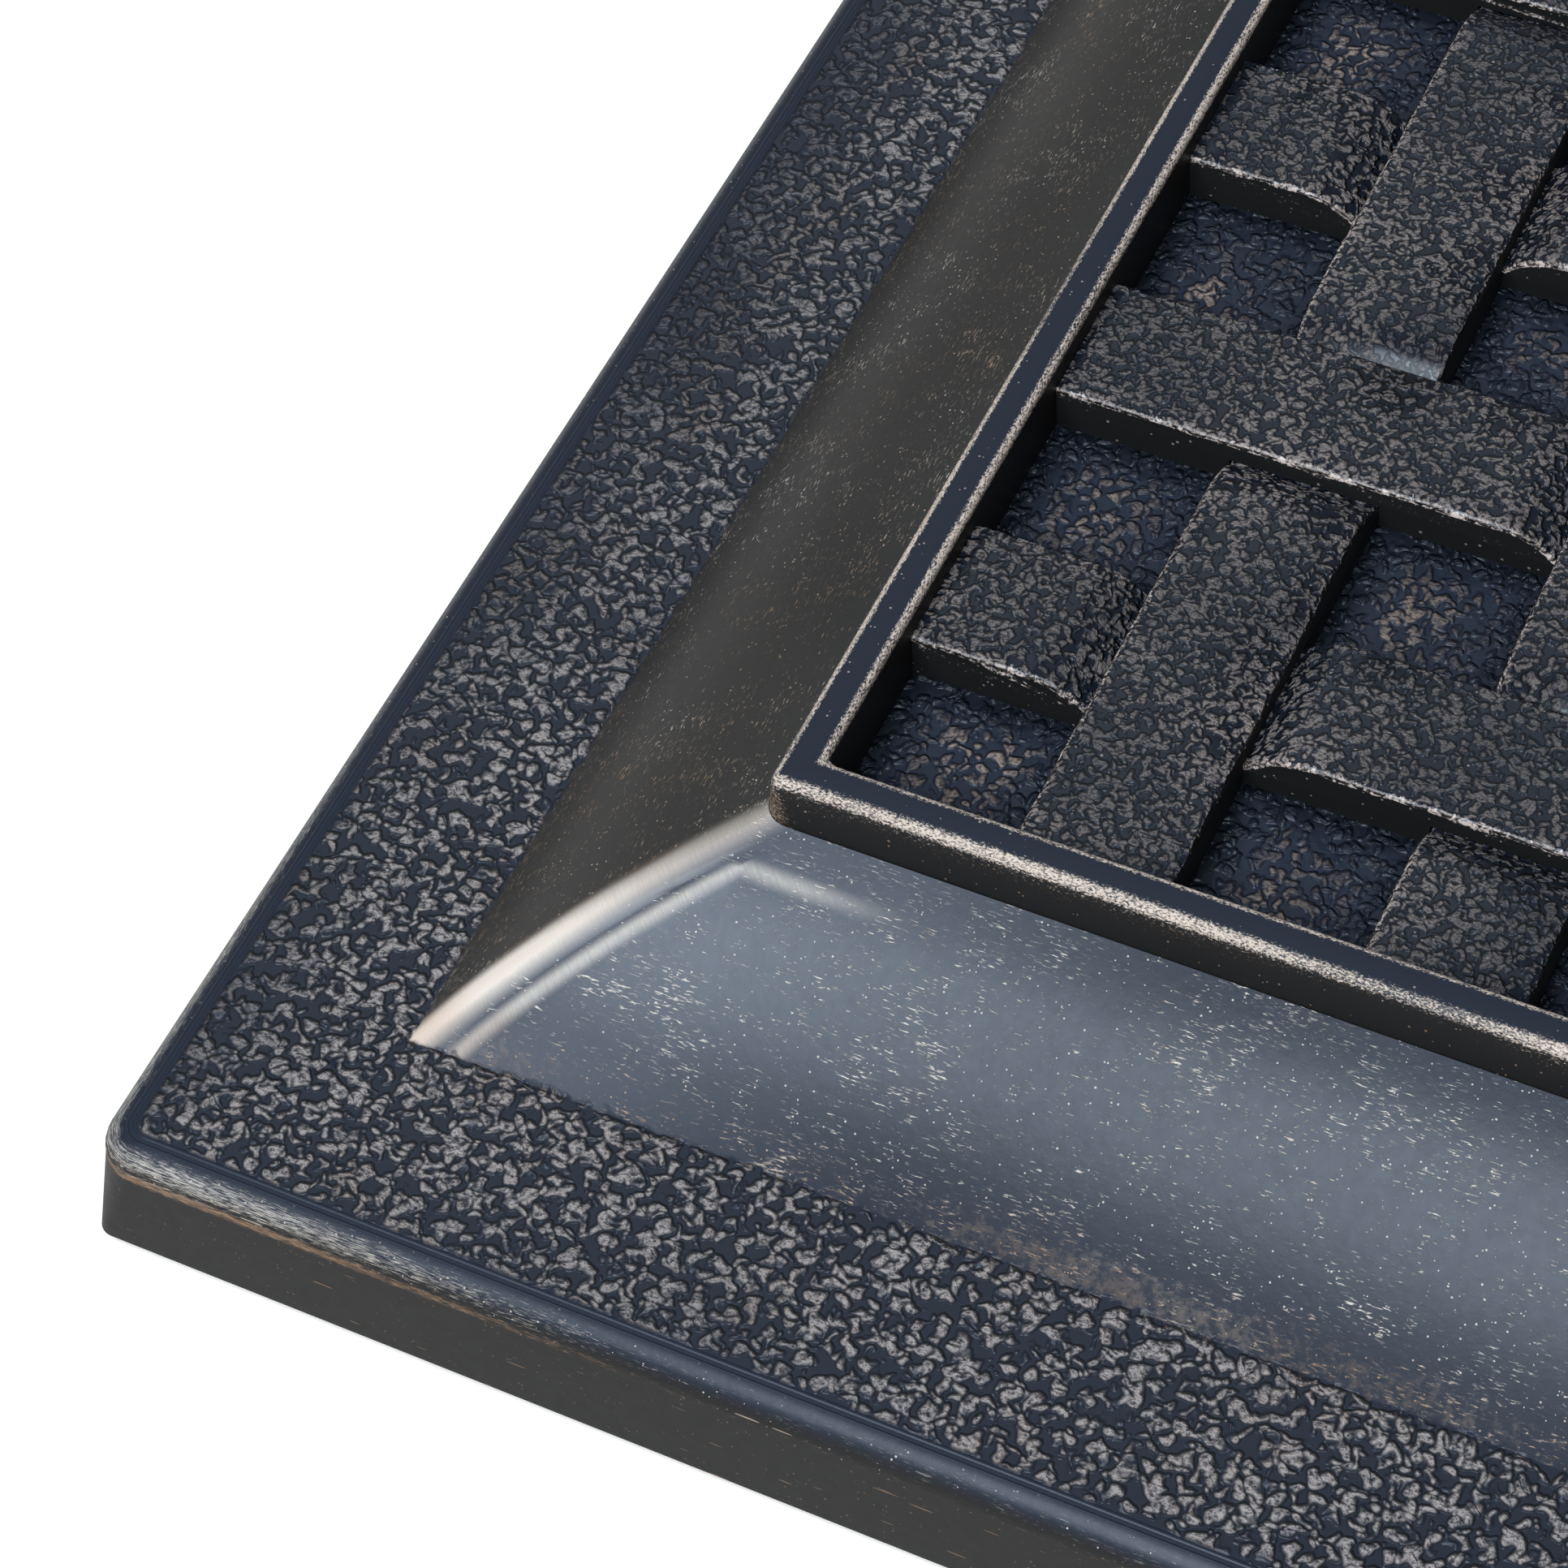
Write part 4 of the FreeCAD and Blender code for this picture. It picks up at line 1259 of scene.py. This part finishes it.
class DOORMAT_OT_add_border(bpy.types.Operator):
    """Add the moulded border: wall, pebbled band, slope with its hips, and the ribbed underside"""

    bl_idname = "door_mat.add_border"
    bl_label = "Add Border"

    def execute(self, context):
        border = context.scene.door_mat_border
        profile = wall_profile(border) + slope_profile(border) + underside_profile(border)
        piece = ring_of("border_shell", profile)
        raise_second_hip(border)
        mirror_quarter(piece)
        close_up(MOULDING_SMOOTH_ANGLE)
        ribs = []
        for x in spread(border.ribs_long, 2 * MAT_HIGH.x - 2 * border.leg_inset):
            ribs += channel_rib(border, x, True)
        for y in spread(border.ribs_short, 2 * MAT_HIGH.y - 2 * border.leg_inset):
            ribs += channel_rib(border, y, False)
        join_to(piece, ribs + foot_bosses(border))
        settle(piece, border_material(context.scene.door_mat_finish, border), "smooth_rubber", "border_frame")
        return {"FINISHED"}


class DOORMAT_OT_add_rim(bpy.types.Operator):
    """Add the retaining rim round the panel"""

    bl_idname = "door_mat.add_rim"
    bl_label = "Add Rim"

    def execute(self, context):
        border = context.scene.door_mat_border
        rim = context.scene.door_mat_rim
        base = RIM_LOW.x - MAT_LOW.x
        outer = slope_top_inset(border) + rim.batter
        inner = outer + rim.top_width
        z_top = RIM_HIGH.z
        rings = [(base, TRAY_HIGH.z, rim.base_round), (base, BORDER_HIGH.z, rim.base_round)]
        lean = (outer - base) / (z_top - BORDER_HIGH.z)
        z_side = z_top - rim.outer_arris
        side = outer - rim.outer_arris * lean
        start_round = mixed(rim.base_round, rim.top_round, 0.8)
        rings.append((side, z_side, start_round))
        half = math.sqrt(0.5)
        bulge = (outer + rim.outer_arris * (1 - half), z_top - rim.outer_arris * (1 - half))
        flat = (outer + rim.outer_arris, z_top)
        for number, (inset, height) in enumerate(arc_points((side, z_side), bulge, flat, 5)):
            rings.append((inset, height, mixed(start_round, rim.top_round * 0.6, (number + 1) / 5)))
        start = (inner - rim.inner_arris, z_top)
        bulge = (inner - rim.inner_arris * (1 - half), z_top - rim.inner_arris * (1 - half))
        end = (inner, z_top - rim.inner_arris)
        rings.append((*start, rim.inner_round * 1.4))
        for inset, height in arc_points(start, bulge, end, 4):
            rings.append((inset, height, rim.inner_round))
        rings.append((inner, TRAY_HIGH.z, rim.inner_round))
        piece = ring_of("rim_bead", rings)
        mirror_quarter(piece)
        close_up(MOULDING_SMOOTH_ANGLE)
        half_opening = (MAT_HIGH.x - inner, MAT_HIGH.y - inner)
        join_to(piece, rim_pegs(rim, half_opening, (base + inner) / 2))
        settle(piece, rim_material(context.scene.door_mat_finish, border, rim), "smooth_rubber", "rim_frame")
        return {"FINISHED"}


class DOORMAT_OT_add_warp_strips(bpy.types.Operator):
    """Add the strips that run across the mat"""

    bl_idname = "door_mat.add_warp_strips"
    bl_label = "Add Warp Strips"

    def execute(self, context):
        weave(context.scene, across_mat=True)
        return {"FINISHED"}


class DOORMAT_OT_add_weft_strips(bpy.types.Operator):
    """Add the strips that run along the mat"""

    bl_idname = "door_mat.add_weft_strips"
    bl_label = "Add Weft Strips"

    def execute(self, context):
        weave(context.scene, across_mat=False)
        return {"FINISHED"}


def dress(node, material):
    """Gives a kept node its material."""
    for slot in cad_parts[node].material_slots:
        slot.material = material


class DOORMAT_OT_finish_tray(bpy.types.Operator):
    """Give the panel tray its wrinkled rubber"""

    bl_idname = "door_mat.finish_tray"
    bl_label = "Finish Tray"

    def execute(self, context):
        dress("panel_tray", tray_material(context.scene.door_mat_finish))
        return {"FINISHED"}


class DOORMAT_OT_finish_feet(bpy.types.Operator):
    """Give the grip feet their rubber"""

    bl_idname = "door_mat.finish_feet"
    bl_label = "Finish Feet"

    def execute(self, context):
        dress("grip_feet", foot_material(context.scene.door_mat_finish))
        return {"FINISHED"}


class DOORMAT_OT_finish_retainers(bpy.types.Operator):
    """Give the retaining rings their steel"""

    bl_idname = "door_mat.finish_retainers"
    bl_label = "Finish Retainers"

    def execute(self, context):
        dress("rim_retainers", steel_material(context.scene.door_mat_finish))
        return {"FINISHED"}


class DOORMAT_OT_add_stage(bpy.types.Operator):
    """Add the pale floor, the soft lights and the camera"""

    bl_idname = "door_mat.add_stage"
    bl_label = "Add Stage"

    def execute(self, context):
        scene = context.scene
        stage = scene.door_mat_stage
        border = scene.door_mat_border
        corner = Vector((MAT_LOW.x + border.wall_draft, MAT_LOW.y + border.wall_draft, band_height(border)))
        add_floor(stage)
        add_soft_box("key_light", corner, KEY_PLACE, KEY_SIZE, stage.key_power, stage.key_tint)
        add_soft_box("back_light", corner, BACK_PLACE, BACK_SIZE, stage.back_power, stage.key_tint)
        pick()
        bpy.ops.object.camera_add(location=corner + Vector(stage.camera_place), rotation=stage.camera_turn)
        camera = context.object
        camera.data.lens = stage.lens
        camera.data.clip_start = NEAREST_SEEN
        camera.data.dof.use_dof = False
        scene.camera = camera
        world = bpy.data.worlds.new("Studio")
        world.use_nodes = True
        background = world.node_tree.nodes["Background"]
        background.inputs["Color"].default_value = SURROUNDINGS_TINT
        background.inputs["Strength"].default_value = stage.world_strength
        scene.world = world
        scene.view_settings.view_transform = "Standard"
        return {"FINISHED"}


def add_floor(stage):
    pick()
    bpy.ops.mesh.primitive_plane_add(size=STUDIO_FLOOR_SIZE)
    floor = bpy.context.object
    floor.name = "studio_floor"
    material, wiring, _, _ = start_material("Studio Floor")
    finish_material(wiring, (*stage.floor_colour, 1), 0.9, specular=FLOOR_SPECULAR)
    floor.data.materials.append(material)


def add_soft_box(name, corner, place, size, power, tint):
    """Square light at this place from the mat's corner, turned to the part of the mat beside it."""
    pick()
    turn = (Vector(LIT_PLACE) - Vector(place)).to_track_quat("-Z", "Y").to_euler()
    bpy.ops.object.light_add(type="AREA", location=corner + Vector(place), rotation=turn)
    light = bpy.context.object
    light.name = name
    light.data.shape = "SQUARE"
    light.data.size = size
    light.data.energy = power
    light.data.color = tint


class DOORMAT_PT_panel(bpy.types.Panel):
    """Door mat tools in the sidebar"""

    bl_label = "Door Mat"
    bl_idname = "DOORMAT_PT_panel"
    bl_space_type = "VIEW_3D"
    bl_region_type = "UI"
    bl_category = "Door Mat"

    def draw(self, context):
        for operator in OPERATORS:
            self.layout.operator(operator.bl_idname)


OPERATORS = (
    DOORMAT_OT_add_border,
    DOORMAT_OT_add_rim,
    DOORMAT_OT_add_warp_strips,
    DOORMAT_OT_add_weft_strips,
    DOORMAT_OT_finish_tray,
    DOORMAT_OT_finish_feet,
    DOORMAT_OT_finish_retainers,
    DOORMAT_OT_add_stage,
)
SETTINGS = {
    "door_mat_border": DoorMatBorder,
    "door_mat_rim": DoorMatRim,
    "door_mat_strips": DoorMatStrips,
    "door_mat_finish": DoorMatFinish,
    "door_mat_stage": DoorMatStage,
}


def register():
    for name, group in SETTINGS.items():
        bpy.utils.register_class(group)
        setattr(bpy.types.Scene, name, PointerProperty(type=group))
    for operator in OPERATORS:
        bpy.utils.register_class(operator)
    bpy.utils.register_class(DOORMAT_PT_panel)


def unregister():
    bpy.utils.unregister_class(DOORMAT_PT_panel)
    for operator in reversed(OPERATORS):
        bpy.utils.unregister_class(operator)
    for name, group in reversed(SETTINGS.items()):
        delattr(bpy.types.Scene, name)
        bpy.utils.unregister_class(group)


def main():
    register()
    for operator in OPERATORS:
        group, name = operator.bl_idname.split(".")
        getattr(getattr(bpy.ops, group), name)()


if __name__ == "__main__":
    main()
